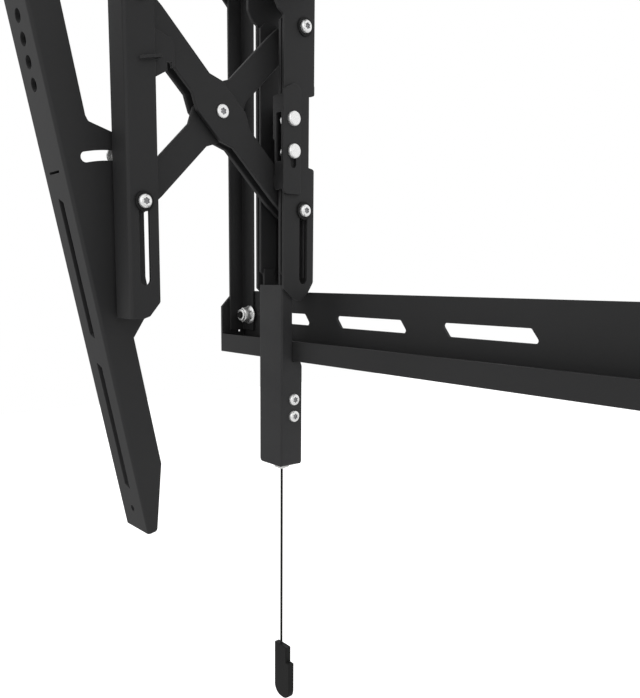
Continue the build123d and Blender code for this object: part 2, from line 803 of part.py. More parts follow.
def build_cover():
    """The latch cover, a box in front of the bottom rail with a wider part below it."""
    x0 = -cover_left
    x1 = cover_right
    z0 = base + cover_bottom
    z1 = base + cover_top
    shoulder = base + cover_shoulder
    rear = -rail_depth - cover_rail_gap
    outer = side_sheet([
        (cover_front, z1), (rear, z1), (rear, shoulder), (cover_rear - 1.4, shoulder),
        (cover_rear, shoulder - 3.8), (cover_rear, z0), (cover_front, z0),
    ], x0, x1)
    outer = fillet(outer.edges().filter_by(Axis.Y).sort_by(Axis.Z)[:2], 3.0)
    outer = fillet(outer.edges().filter_by(Axis.Z).group_by(Axis.Y)[0], 1.4)
    w = cover_wall
    inner = side_sheet([
        (cover_front + w, z1 + 1), (rear - w, z1 + 1), (rear - w, shoulder - w),
        (cover_rear - 1.4 - w / 2, shoulder - w),
        (cover_rear - w, shoulder - 3.8 - w / 2), (cover_rear - w, z0 + w), (cover_front + w, z0 + w),
    ], x0 + w, x1 - w)
    cover = outer - inner
    opening = box(
        latch_x - latch_width / 2 - 0.5, latch_x + latch_width / 2 + 0.5,
        latch_tooth_rear - latch_tooth_depth - 0.5, latch_tooth_rear + 0.3, shoulder - w - 1, shoulder + 1,
    )
    cover -= opening
    cover -= Pos(latch_x, cord_y, z0) * Cylinder(grommet_diameter / 2 + running_clearance, 10)
    for k in range(2):
        z = base + screw_upper - k * screw_pitch
        cover -= rod(x1 - 5, x1 + 1, screw_y, z, screw_diameter + 2 * running_clearance)
    return cover


def build_latch_frame():
    """The folded frame that joins the latch cover to the inner channel and guides the latch bolt."""
    x1 = cover_right - cover_wall
    x0 = -cover_left + cover_wall + 0.1
    s = frame_sheet
    y0 = frame_front
    strap_rear = -rail_depth - cover_rail_gap - cover_wall - face_clearance
    frame = box(-inner_face + 0.1, inner_face - 0.1, y0, y0 + s, base - 6.0, base + cover_top - 1.0)
    frame += box(x0, x1, y0, y0 + s, base + frame_floor, base - 4.0)
    for side in (-1, 1):
        edge = side * inner_face
        xs = sorted((edge, edge - side * s))
        frame += box(xs[0], xs[1], y0, strap_rear, base + frame_strap_low, base + cover_top + 1.0)
        frame += box(xs[0], xs[1], y0, frame_strap_rear, base + cover_top + 0.5, base + frame_tab_top)
    frame += box(x0, x1, y0, cover_rear - 2.0, base + frame_floor, base + frame_floor + s)
    frame += box(x1 - s, x1, y0, cover_rear - 2.0, base + frame_floor, base - 22.0)
    frame += box(x0, x1, y0, -21.5, base + latch_top + face_clearance, base + latch_top + face_clearance + s)
    frame -= Pos(latch_x, cord_y, base + frame_floor) * Cylinder(grommet_bore / 2, 8)
    for k in range(2):
        z = base + screw_upper - k * screw_pitch
        frame -= rod(x1 - 5, x1 + 1, screw_y, z, screw_diameter + 2 * running_clearance)
    return frame


def build_latch_bolt():
    """The sprung latch bolt whose tooth stands behind the lip of the bottom rail."""
    x0 = latch_x - latch_width / 2
    x1 = latch_x + latch_width / 2
    top = base + latch_top
    p = latch_plate
    tooth_front = latch_tooth_rear - latch_tooth_depth
    side = [
        (latch_front, top),
        (tooth_front, top),
        (tooth_front, base + latch_tooth_top - 3.0),
        (tooth_front + 1.2, base + latch_tooth_top),
        (latch_tooth_rear, base + latch_tooth_top),
        (latch_tooth_rear, top - p),
        (latch_front + p, top - p),
        (latch_front + p, base + latch_leg_bottom + p),
        (-18.5, base + latch_leg_bottom + p),
        (-18.5, base + latch_leg_bottom),
        (latch_front, base + latch_leg_bottom),
    ]
    bolt = side_sheet(side, x0, x1)
    cord_bore = cord_diameter / 2 + running_clearance
    bolt -= Pos(latch_x, cord_y, base + latch_leg_bottom) * Cylinder(cord_bore, 12)
    return bolt


def build_spring():
    """The coil spring between the frame's floor and the latch bolt's foot."""
    z0 = base + frame_floor + frame_sheet + spring_wire / 2
    length = -frame_floor - frame_sheet + latch_leg_bottom - spring_wire
    coil = Helix(length / spring_turns, length, (spring_diameter - spring_wire) / 2)
    section = Plane(coil @ 0, z_dir=coil % 0) * Circle(spring_wire / 2)
    return Pos(latch_x, cord_y, z0) * sweep(section, path=coil)


def build_cord():
    """The pull cord: a straight run with a knot above the latch bolt's foot."""
    z1 = base + latch_leg_bottom + latch_plate
    z0 = base + tab_top - tab_socket
    run = Cylinder(cord_diameter / 2, z1 - z0 + 1.0, align=(Align.CENTER, Align.CENTER, Align.MIN))
    knot = Pos(0, 0, z1 - z0 + 1.75) * Sphere(1.9)
    return Pos(latch_x, cord_y, z0) * (run + knot)


def build_grommet():
    """The plastic bush that guides the cord through the cover's floor."""
    z0 = base + cover_bottom
    bush = Cylinder(grommet_diameter / 2, cover_wall + 1.6, align=(Align.CENTER, Align.CENTER, Align.MIN))
    hanging = (Align.CENTER, Align.CENTER, Align.MAX)
    rim = Cylinder(grommet_flange_diameter / 2, grommet_drop * 0.6, align=hanging)
    tip = Cone(
        grommet_flange_diameter / 2, grommet_tip_diameter / 2, grommet_drop * 0.4,
        align=(Align.CENTER, Align.CENTER, Align.MIN),
    )
    rim += Pos(0, 0, -grommet_drop * 0.6) * Rot(180, 0, 0) * tip
    return Pos(latch_x, cord_y, z0) * (bush + rim - Cylinder(grommet_bore / 2, 20))


def build_tab():
    """The pull tab at the end of the cord, with a wider grip that is rounded at its foot."""
    z1 = tab_top
    z0 = tab_top - tab_height
    x0 = -tab_left
    x1 = x0 + tab_width
    x2 = x0 + tab_grip_width
    step = z1 - tab_grip_drop
    face = make_face(Polyline((x0, z1), (x1, z1), (x1, step), (x2, step), (x2, z0), (x0, z0), close=True))
    face = fillet(face.vertices().group_by(Axis.Y)[0], tab_radius)
    tab = extrude(Plane.XZ * face, tab_thickness / 2, both=True)
    tab = chamfer(tab.edges().group_by(Axis.Y)[0] + tab.edges().group_by(Axis.Y)[-1], 0.6)
    tab -= Pos(0, 0, z1) * Cylinder(cord_diameter / 2 + running_clearance, 2 * tab_socket)
    return Pos(latch_x, cord_y, base) * tab


def build_left_arm():
    """Every piece of one arm about its own middle, before it is set in place on the rails."""
    x_wall = wall_half
    low_z = base + catch_lower_height
    up_z = base + catch_upper_height
    side_x = wall_half + face_clearance
    out = inner_face
    catch_bore = catch_bolt_diameter + 2 * running_clearance
    nut = ring(out - catch_nut_height, out, catch_bolt_y, low_z, catch_nut_diameter, catch_bore)
    moving_nut = ring(
        out - catch_nut_height, out - face_clearance, catch_bolt_y, up_z, catch_nut_diameter, catch_bore
    )
    bore = pivot_diameter + 2 * running_clearance
    slide_bore = slide_pin_diameter + 2 * running_clearance
    rivet_bore = centre_rivet_diameter + 2 * running_clearance
    single = link_sheet / 2
    pieces = {}
    pieces["wall_channel"] = build_wall_channel()
    pieces["inner_channel"] = build_inner_channel()
    pieces["wall_pivot_bolt"] = through_pin(x_wall, -x_wall, pivot_y, pivot_z, pivot_diameter, 2.4)
    pieces["wall_spacers"] = [
        head_washer(x_wall, pivot_y, pivot_z, pivot_diameter),
        *ring_pair(single + face_clearance, inner_face, pivot_y, pivot_z, spacer_diameter, bore),
        *ring_pair(inner_half, wall_half - channel_sheet, pivot_y, pivot_z, spacer_diameter + 2.0, bore),
        ring(inner_half, wall_half - channel_sheet, catch_bolt_y, low_z, spacer_diameter, catch_bore),
    ]
    pieces["catch_guide_bolt"] = [
        build_catch_bolt(low_z, side_x + catch_sheet + face_clearance, out - catch_nut_height),
        nut,
    ]
    pieces["latch_frame"] = build_latch_frame()
    pieces["latch_cover"] = build_cover()
    screws = []
    for k in range(2):
        z = base + screw_upper - k * screw_pitch
        screw = rod(cover_right - cover_wall - frame_sheet - 1.0, cover_right, screw_y, z, screw_diameter)
        screw += pan_head(cover_right, screw_y, z, screw_head_diameter, screw_head_height, 1, screw_socket)
        screws.append(screw)
    pieces["cover_screws"] = screws
    pieces["cord_grommet"] = build_grommet()
    pieces["latch_spring"] = build_spring()
    pieces["inner_link"] = build_link_plate(0, -1, bore, slide_bore, rivet_bore)
    pieces["centre_rivet"] = build_centre_rivet()
    front_out = front_half + face_clearance
    pieces["front_slide_pin"] = through_pin(front_out, -front_out, front_y, slide_z, slide_pin_diameter, 1.8)
    pieces["inner_link_rings"] = [
        head_washer(front_out, front_y, slide_z, slide_pin_diameter),
        *ring_pair(single, outer_link_in - face_clearance, hub_y, hub_z, centre_washer_diameter, rivet_bore),
        *ring_pair(single, front_face - face_clearance, front_y, slide_z, spacer_diameter, slide_bore),
    ]
    pieces["outer_links"] = [
        build_link_plate(link_pitch / 2, 1, slide_bore, bore, rivet_bore),
        build_link_plate(-link_pitch / 2, 1, slide_bore, bore, rivet_bore),
    ]
    wall_out = x_wall + face_clearance
    pin_end = wall_half - channel_sheet - face_clearance
    pieces["wall_slide_pin"] = through_pin(wall_out, -pin_end, pivot_y, slide_z, slide_pin_diameter, 0)
    pieces["outer_link_rings"] = [
        head_washer(wall_out, pivot_y, slide_z, slide_pin_diameter),
        *ring_pair(outer_link_out, inner_face - face_clearance, pivot_y, slide_z, spacer_diameter, slide_bore),
        ring(-outer_link_in, outer_link_in, pivot_y, slide_z, spacer_diameter, slide_bore),
    ]
    pieces["front_channel"] = build_front_channel()
    pieces["front_pivot_bolt"] = through_pin(front_half, -front_half, front_y, pivot_z, pivot_diameter, 1.8)
    pieces["front_spacers"] = [
        head_washer(front_half, front_y, pivot_z, pivot_diameter),
        *ring_pair(outer_link_out + face_clearance, front_face, front_y, pivot_z, spacer_diameter, bore),
        ring(
            -outer_link_in + face_clearance, outer_link_in - face_clearance, front_y, pivot_z,
            spacer_diameter, bore,
        ),
        *[
            ring(-front_half - tilt_gap + face_clearance, -front_half, tilt_bolt_y, z, tilt_spacer_diameter, bore)
            for z in (tilt_pivot_z, tilt_pivot_z + tilt_radius)
        ],
    ]
    pieces["tilt_bolts"] = [build_tilt_bolt(tilt_pivot_z), build_tilt_bolt(tilt_pivot_z + tilt_radius)]
    pieces["tilt_bracket"] = build_tilt_bracket()
    pieces["catch_plate"] = build_catch_plate()
    pieces["catch_bolt"] = [
        build_catch_bolt(up_z, side_x + catch_sheet, out - catch_nut_height),
        moving_nut,
    ]
    pieces["latch_bolt"] = build_latch_bolt()
    pieces["pull_cord"] = build_cord()
    pieces["pull_tab"] = build_tab()
    return pieces


def build_centre_rivet():
    """The rivet that joins the links at their crossing."""
    reach = outer_link_out + face_clearance
    rivet = rod(-reach, reach, hub_y, hub_z, centre_rivet_diameter)
    rivet += pan_head(reach, hub_y, hub_z, centre_head_diameter, centre_head_height, 1, pin_socket)
    rivet += pan_head(-reach, hub_y, hub_z, centre_head_diameter, centre_head_height, -1)
    return rivet


def gather(shapes):
    """The solids of one shape or of several, as a plain list."""
    found = []
    for shape in shapes if isinstance(shapes, list) else [shapes]:
        found.extend(shape.solids())
    return found


def save(name, solids):
    """Write one node as one file."""
    shape = solids[0] if len(solids) == 1 else Compound(children=solids)
    shape.label = name
    export_step(shape, "parts/" + name + ".step")


os.makedirs("parts", exist_ok=True)
save("bottom_rail", gather(build_rail(True)))
save("top_rail", gather(build_rail(False)))
left_post = build_post()
save("left_post", gather(left_post))
save("right_post", gather(mirror(left_post, about=Plane.YZ)))
stud = build_stud()
flange_nut = build_flange_nut()
save("post_studs", gather([Pos(x, 0, z) * stud for x, z in stud_places()]))
nut_seat = -rail_sheet - post_sheet
save("post_nuts", gather([Pos(x, nut_seat, z) * flange_nut for x, z in stud_places()]))
for name, shape in build_left_arm().items():
    placed = [Pos(left, 0, 0) * solid for solid in gather(shape)]
    save("left_" + name, placed)
    save("right_" + name, [mirror(solid, about=Plane.YZ) for solid in placed])
print("pull cord radius", cord_diameter / 2, "straight from", cord_top_z, "to", cord_end_z)
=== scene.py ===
"""Looks for a pull-out tilting wall bracket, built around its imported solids.

Frame: X along the rails, +Y into the wall, +Z up, in metres. Each of the two arms is a scissor
between a wall channel and a front channel, with a tilting bracket, a catch and a corded latch.
"""
import json
import logging
import math
from dataclasses import dataclass
from enum import Enum

import bmesh
import bpy
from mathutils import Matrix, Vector


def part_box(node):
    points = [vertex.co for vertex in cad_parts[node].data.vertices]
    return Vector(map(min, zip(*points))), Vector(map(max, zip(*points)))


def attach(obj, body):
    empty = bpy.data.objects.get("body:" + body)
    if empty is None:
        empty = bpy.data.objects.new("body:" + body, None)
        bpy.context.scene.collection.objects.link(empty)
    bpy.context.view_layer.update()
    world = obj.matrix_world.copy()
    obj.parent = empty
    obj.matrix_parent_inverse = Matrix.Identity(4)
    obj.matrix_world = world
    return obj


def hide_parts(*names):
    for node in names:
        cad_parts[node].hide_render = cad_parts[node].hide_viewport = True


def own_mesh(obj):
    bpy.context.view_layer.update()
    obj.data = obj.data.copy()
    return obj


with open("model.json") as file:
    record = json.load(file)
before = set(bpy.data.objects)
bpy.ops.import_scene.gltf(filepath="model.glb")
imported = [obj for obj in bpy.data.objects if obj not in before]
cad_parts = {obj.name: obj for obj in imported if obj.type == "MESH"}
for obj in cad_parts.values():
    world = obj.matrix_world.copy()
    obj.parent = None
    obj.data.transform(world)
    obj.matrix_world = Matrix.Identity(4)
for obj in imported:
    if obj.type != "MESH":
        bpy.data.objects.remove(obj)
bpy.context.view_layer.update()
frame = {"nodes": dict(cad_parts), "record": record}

log = logging.getLogger("bracket")

MM = 0.001
WHITE = (1.0, 1.0, 1.0, 1.0)
BEVEL_SAMPLES = 6

Colour = tuple[float, float, float]
Place = tuple[float, float, float]


class Side(Enum):
    """The two arms of the bracket, by the sign of their place along X."""

    LEFT = -1
    RIGHT = 1

    @property
    def word(self) -> str:
        """The side's name as it starts the names of its nodes and bodies."""
        return self.name.lower()

    def node(self, name: str) -> str:
        """The name of this side's node or body."""
        return f"{self.word}_{name}"


class NodeGraph:
    """A material's node tree, with short ways to add and join its nodes."""

    def __init__(self, name: str) -> None:
        """Start an empty material.

        Args:
            name: The material's name.
        """
        self.material = bpy.data.materials.new(name)
        self.material.use_nodes = True
        self.tree = self.material.node_tree
        self.tree.nodes.clear()
        self.output = self.tree.nodes.new("ShaderNodeOutputMaterial")
        self.shader = self.tree.nodes.new("ShaderNodeBsdfPrincipled")
        self.join(self.shader.outputs["BSDF"], self.output.inputs["Surface"])
        self.place = self.tree.nodes.new("ShaderNodeTexCoord").outputs["Object"]

    def join(self, start: bpy.types.NodeSocket, end: bpy.types.NodeSocket) -> None:
        """Link an output to an input."""
        self.tree.links.new(start, end)

    def stretched(self, factors: Place) -> bpy.types.NodeSocket:
        """Object coordinates scaled along each axis.

        Args:
            factors: The scale along X, Y and Z.

        Returns:
            The socket with the scaled coordinates.
        """
        mapping = self.tree.nodes.new("ShaderNodeMapping")
        mapping.inputs["Scale"].default_value = factors
        self.join(self.place, mapping.inputs["Vector"])
        return mapping.outputs["Vector"]

    def noise(
        self,
        scale: float,
        detail: float = 2.0,
        vector: bpy.types.NodeSocket | None = None,
    ) -> bpy.types.NodeSocket:
        """A cloud of noise.

        Args:
            scale: Clouds per metre.
            detail: Octaves of finer noise.
            vector: The coordinates, or None for plain object coordinates.

        Returns:
            The socket with the noise value.
        """
        texture = self.tree.nodes.new("ShaderNodeTexNoise")
        texture.inputs["Scale"].default_value = scale
        texture.inputs["Detail"].default_value = detail
        self.join(vector or self.place, texture.inputs["Vector"])
        return texture.outputs["Fac"]

    def ramp(
        self, source: bpy.types.NodeSocket, low: float, high: float, out_low: float, out_high: float
    ) -> bpy.types.NodeSocket:
        """Map one range of values smoothly to another.

        Args:
            source: The socket to read.
            low: The input value that gives out_low.
            high: The input value that gives out_high.
            out_low: The output at and below low.
            out_high: The output at and above high.

        Returns:
            The socket with the mapped value.
        """
        node = self.tree.nodes.new("ShaderNodeMapRange")
        node.inputs["From Min"].default_value = low
        node.inputs["From Max"].default_value = high
        node.inputs["To Min"].default_value = out_low
        node.inputs["To Max"].default_value = out_high
        self.join(source, node.inputs["Value"])
        return node.outputs["Result"]

    def blend_colours(
        self, factor: bpy.types.NodeSocket, first: Colour, second: Colour
    ) -> bpy.types.NodeSocket:
        """Blend between two colours.

        Args:
            factor: The socket that gives the share of the second colour.
            first: The colour at 0.
            second: The colour at 1.

        Returns:
            The socket with the blended colour.
        """
        node = self.tree.nodes.new("ShaderNodeMix")
        node.data_type = "RGBA"
        node.inputs[6].default_value = (*first, 1.0)
        node.inputs[7].default_value = (*second, 1.0)
        self.join(factor, node.inputs[0])
        return node.outputs[2]

    def paint(
        self, cloud: bpy.types.NodeSocket, low: float, high: float, first: Colour, second: Colour
    ) -> None:
        """Colour the shader with two colours that follow a cloud.

        Args:
            cloud: The socket that decides between the colours.
            low: The cloud's value that gives the first colour.
            high: The cloud's value that gives the second colour.
            first: The first colour.
            second: The second colour.
        """
        share = self.ramp(cloud, low, high, out_low=0.0, out_high=1.0)
        self.join(self.blend_colours(share, first, second), self.shader.inputs["Base Color"])

    def roughen(
        self,
        cloud: bpy.types.NodeSocket,
        middle: float,
        down: float,
        up: float,
        low: float = 0.3,
        high: float = 0.7,
    ) -> None:
        """Let the shader's roughness follow a cloud.

        Args:
            cloud: The socket that decides the roughness.
            middle: The finish's roughness.
            down: How far it falls below the middle.
            up: How far it rises above the middle.
            low: The cloud's value that gives the smoothest place.
            high: The cloud's value that gives the roughest place.
        """
        rough = self.ramp(cloud, low, high, middle - down, middle + up)
        self.join(rough, self.shader.inputs["Roughness"])

    def fix(self, name: str, value: float) -> None:
        """Set one of the shader's constant values."""
        self.shader.inputs[name].default_value = value

    def edge_light(self, radius: float) -> bpy.types.NodeSocket:
        """How near a point is to a sharp edge.

        Args:
            radius: The width of the edge zone in metres.

        Returns:
            The socket that is 0 on flat ground and rises towards 1 at an edge.
        """
        bevel = self.tree.nodes.new("ShaderNodeBevel")
        bevel.samples = BEVEL_SAMPLES
        bevel.inputs["Radius"].default_value = radius
        geometry = self.tree.nodes.new("ShaderNodeNewGeometry")
        product = self.tree.nodes.new("ShaderNodeVectorMath")
        product.operation = "DOT_PRODUCT"
        self.join(bevel.outputs["Normal"], product.inputs[0])
        self.join(geometry.outputs["True Normal"], product.inputs[1])
        return self.ramp(product.outputs["Value"], low=0.98, high=0.72, out_low=0.0, out_high=1.0)

    def bump(
        self, height: bpy.types.NodeSocket, depth: float, strength: float, edge: float = 0.0
    ) -> None:
        """Give the shader a bumped normal, on edges that are softly rounded.

        Args:
            height: The socket with the height.
            depth: The bump's depth in metres.
            strength: The share of the bump that shows.
            edge: The radius of the rounded edges in metres, or 0 for none.
        """
        node = self.tree.nodes.new("ShaderNodeBump")
        node.inputs["Distance"].default_value = depth
        node.inputs["Strength"].default_value = strength
        self.join(height, node.inputs["Height"])
        if edge > 0.0:
            bevel = self.tree.nodes.new("ShaderNodeBevel")
            bevel.samples = BEVEL_SAMPLES
            bevel.inputs["Radius"].default_value = edge
            self.join(bevel.outputs["Normal"], node.inputs["Normal"])
        self.join(node.outputs["Normal"], self.shader.inputs["Normal"])


@dataclass(frozen=True)
class PowderCoat:
    """Black powder coat on sheet steel: satin, with a fine orange peel and painted highlights along
    its edges.
    """

    name: str = "black powder coat"
    colour: Colour = (0.0142, 0.0142, 0.0147)
    # The colour of the painted highlight along the edges.
    wear_and_highlight: Colour = (0.060, 0.060, 0.062)
    roughness: float = 0.63
    specular: float = 0.36
    cloud_gain: float = 1.18
    # How far the painted edge highlight goes towards its colour.
    edge_highlight_share: float = 0.75
    edge_radius: float = 0.7 * MM

    def make(self) -> bpy.types.Material:
        """Build the material.

        Returns:
            The material.
        """
        graph = NodeGraph(self.name)
        cloud = graph.noise(scale=9.0, detail=3.0)
        peel = graph.noise(scale=1500.0, detail=2.0)
        speckle = graph.noise(scale=5200.0, detail=1.0)
        pale = tuple(part * self.cloud_gain for part in self.colour)
        share = graph.ramp(cloud, low=0.35, high=0.65, out_low=0.0, out_high=1.0)
        base = graph.blend_colours(share, self.colour, pale)
        # Painted highlight: the colour turns lighter near sharp edges, where rounded edges would
        # catch the light.
        edge = graph.edge_light(self.edge_radius)
        mix = graph.tree.nodes.new("ShaderNodeMix")
        mix.data_type = "RGBA"
        mix.inputs[7].default_value = (*self.wear_and_highlight, 1.0)
        graph.join(base, mix.inputs[6])
        wear_and_highlight = graph.ramp(edge, low=0.0, high=1.0, out_low=0.0, out_high=self.edge_highlight_share)
        graph.join(wear_and_highlight, mix.inputs[0])
        graph.join(mix.outputs[2], graph.shader.inputs["Base Color"])
        graph.roughen(speckle, self.roughness, down=0.05, up=0.06)
        graph.fix("Specular IOR Level", self.specular)
        graph.bump(peel, depth=0.04 * MM, strength=0.35, edge=self.edge_radius)
        return graph.material


@dataclass(frozen=True)
class ZincPlate:
    """Bright zinc plate on bolts and pins, with faint turning marks."""

    name: str = "bright zinc plate"
    colour: Colour = (0.93, 0.93, 0.92)
    shade: Colour = (0.86, 0.86, 0.86)
    roughness: float = 0.26
    metallic: float = 0.7
    mark_stretch: Place = (1.0, 0.35, 0.35)

    def make(self) -> bpy.types.Material:
        """Build the material.

        Returns:
            The material.
        """
        graph = NodeGraph(self.name)
        cloud = graph.noise(scale=420.0, detail=4.0)
        marks = graph.noise(scale=2600.0, detail=3.0, vector=graph.stretched(self.mark_stretch))
        graph.paint(cloud, low=0.3, high=0.7, first=self.shade, second=self.colour)
        graph.fix("Metallic", self.metallic)
        graph.roughen(cloud, self.roughness, down=0.06, up=0.1)
        graph.bump(marks, depth=0.02 * MM, strength=0.3, edge=0.25 * MM)
        return graph.material


@dataclass(frozen=True)
class SocketShade:
    """Duller zinc on the walls and floor of a head's socket, its darker colour painted shade for
    the recess.
    """

    name: str = "dull zinc with painted socket shade"
    # Both colours are darker than the heads' zinc: painted shade in the socket.
    colour: Colour = (0.46, 0.46, 0.47)
    shade: Colour = (0.24, 0.24, 0.25)
    roughness: float = 0.55
    metallic: float = 0.6

    def make(self) -> bpy.types.Material:
        """Build the material.

        Returns:
            The material.
        """
        graph = NodeGraph(self.name)
        cloud = graph.noise(scale=1400.0, detail=3.0)
        graph.paint(cloud, low=0.35, high=0.65, first=self.shade, second=self.colour)
        graph.fix("Metallic", self.metallic)
        graph.roughen(cloud, self.roughness, down=0.08, up=0.15)
        graph.bump(cloud, depth=0.02 * MM, strength=0.3, edge=0.2 * MM)
        return graph.material


@dataclass(frozen=True)
class BlackRing:
    """Black oxide on the washers and spacer rings."""

    name: str = "black oxide"
    colour: Colour = (0.006, 0.006, 0.006)
    wear_and_highlight: Colour = (0.014, 0.014, 0.014)
    roughness: float = 0.5
    specular: float = 0.16

    def make(self) -> bpy.types.Material:
        """Build the material.

        Returns:
            The material.
        """
        graph = NodeGraph(self.name)
        cloud = graph.noise(scale=700.0, detail=3.0)
        graph.paint(cloud, low=0.35, high=0.7, first=self.colour, second=self.wear_and_highlight)
        graph.roughen(cloud, self.roughness, down=0.06, up=0.08)
        graph.fix("Specular IOR Level", self.specular)
        graph.bump(cloud, depth=0.02 * MM, strength=0.3, edge=0.25 * MM)
        return graph.material


@dataclass(frozen=True)
class BlackPlastic:
    """Moulded black plastic with a spark-eroded grain, on the latch covers and pull tabs."""

    name: str = "black moulded plastic"
    colour: Colour = (0.021, 0.021, 0.022)
    light: Colour = (0.027, 0.027, 0.028)
    roughness: float = 0.58
    specular: float = 0.34
    grain_scale: float = 2400.0
    edge_radius: float = 0.5 * MM

    def make(self) -> bpy.types.Material:
        """Build the material.

        Returns:
            The material.
        """
        graph = NodeGraph(self.name)
        cells = graph.tree.nodes.new("ShaderNodeTexVoronoi")
        cells.inputs["Scale"].default_value = self.grain_scale
        graph.join(graph.place, cells.inputs["Vector"])
        cloud = graph.noise(scale=30.0, detail=3.0)
        grain = cells.outputs["Distance"]
        graph.paint(cloud, low=0.35, high=0.65, first=self.colour, second=self.light)
        graph.roughen(grain, self.roughness, down=0.05, up=0.07, low=0.0, high=0.8)
        graph.fix("Specular IOR Level", self.specular)
        graph.bump(grain, depth=0.05 * MM, strength=0.4, edge=self.edge_radius)
        return graph.material


@dataclass(frozen=True)
class PalePlastic:
    """Off-white nylon of the cord grommets."""

    name: str = "pale nylon"
    colour: Colour = (0.86, 0.86, 0.84)
    shade: Colour = (0.80, 0.80, 0.78)
    roughness: float = 0.45

    def make(self) -> bpy.types.Material:
        """Build the material.

        Returns:
            The material.
        """
        graph = NodeGraph(self.name)
        cloud = graph.noise(scale=300.0, detail=3.0)
        graph.paint(cloud, low=0.3, high=0.7, first=self.shade, second=self.colour)
        graph.roughen(cloud, self.roughness, down=0.05, up=0.05)
        graph.bump(cloud, depth=0.02 * MM, strength=0.3, edge=0.3 * MM)
        return graph.material


@dataclass(frozen=True)
class SpringWire:
    """Drawn spring wire of the latch springs."""

    name: str = "drawn spring wire"
    colour: Colour = (0.55, 0.55, 0.56)
    shade: Colour = (0.38, 0.38, 0.40)
    roughness: float = 0.33

    def make(self) -> bpy.types.Material:
        """Build the material.

        Returns:
            The material.
        """
        graph = NodeGraph(self.name)
        cloud = graph.noise(scale=900.0, detail=3.0)
        graph.paint(cloud, low=0.3, high=0.7, first=self.shade, second=self.colour)
        graph.fix("Metallic", 1.0)
        graph.roughen(cloud, self.roughness, down=0.05, up=0.08)
        graph.bump(cloud, depth=0.02 * MM, strength=0.3)
        return graph.material


@dataclass(frozen=True)
class BraidedCord:
    """Tightly braided black polyester of the pull cords."""

    name: str = "braided black cord"
    colour: Colour = (0.003, 0.003, 0.003)
    light: Colour = (0.009, 0.009, 0.009)
    pitch: float = 1.4 * MM
    roughness: float = 0.75
    sheen: float = 0.04
    specular: float = 0.2

    def make(self) -> bpy.types.Material:
        """Build the material.

        Returns:
            The material.
        """
        graph = NodeGraph(self.name)
        strands = []
        for lean in (-1.0, 1.0):
            wave = graph.tree.nodes.new("ShaderNodeTexWave")
            wave.wave_type = "BANDS"
            wave.bands_direction = "DIAGONAL"
            wave.inputs["Scale"].default_value = 0.5 / self.pitch
            graph.join(graph.stretched((lean, lean, 1.0)), wave.inputs["Vector"])
            strands.append(wave.outputs["Fac"])
        weave = graph.tree.nodes.new("ShaderNodeMath")
        weave.operation = "MULTIPLY"
        graph.join(strands[0], weave.inputs[0])
        graph.join(strands[1], weave.inputs[1])
        graph.paint(weave.outputs[0], low=0.0, high=0.6, first=self.colour, second=self.light)
        graph.fix("Roughness", self.roughness)
        graph.fix("Sheen Weight", self.sheen)
        graph.fix("Specular IOR Level", self.specular)
        graph.bump(weave.outputs[0], depth=0.12 * MM, strength=0.6)
        return graph.material


class Finishes:
    """Every finish of the bracket, made once and given to nodes and pieces."""

    def __init__(self) -> None:
        """Make the materials."""
        self.coat = PowderCoat().make()
        self.zinc = ZincPlate().make()
        self.socket = SocketShade().make()
        self.ring = BlackRing().make()
        self.plastic = BlackPlastic().make()
        # The pull tabs get a darker copy of the cover plastic: painted shade.
        self.tab = BlackPlastic(
            name="black pull tab plastic",
            colour=(0.006, 0.006, 0.006),
            light=(0.009, 0.009, 0.009),
            roughness=0.6,
            specular=0.2,
        ).make()
        self.pale = PalePlastic().make()
        self.wire = SpringWire().make()
        self.cord = BraidedCord().make()
        self.by_slot = {
            "black_coat": self.coat,
            "zinc": self.zinc,
            "black_ring": self.ring,
            "black_plastic": self.plastic,
            "pale_plastic": self.pale,
            "spring_steel": self.wire,
            "black_cord": self.cord,
        }

    def dress_nodes(self) -> None:
        """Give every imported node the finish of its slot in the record."""
        for entry in frame["record"]["subparts"]:
            node = frame["nodes"][entry["node"]]
            material = self.by_slot[entry["material_slot"]]
            # The pull tabs take the darker plastic with painted shade.
            if entry["node"].endswith("pull_tab"):
                material = self.tab
            for slot in node.material_slots:
                slot.material = material
            log.info("dressed %s in %s", entry["node"], material.name)


@dataclass(frozen=True)
class SoftLamp:
    """A square area lamp that faces a point."""

    name: str
    place: Place
    target: Place
    size: float
    power: float

    def build(self) -> None:
        """Add the lamp to the scene."""
        data = bpy.data.lights.new(self.name, "AREA")
        data.size = self.size
        data.energy = self.power
        lamp = bpy.data.objects.new(self.name, data)
        lamp.location = self.place
        aim = Vector(self.target) - Vector(self.place)
        lamp.rotation_euler = aim.to_track_quat("-Z", "Y").to_euler()
        bpy.context.scene.collection.objects.link(lamp)


LAMPS = (
    SoftLamp("key lamp", place=(-0.35, -1.9, 1.1), target=(0.0, 0.0, 0.0), size=1.3, power=3.0),
    SoftLamp("side lamp", place=(2.1, -0.9, 0.5), target=(-0.2, 0.0, 0.0), size=1.4, power=7.0),
    SoftLamp("fill lamp", place=(-1.8, -1.0, 0.2), target=(-0.1, 0.0, 0.0), size=1.4, power=0.3),
)


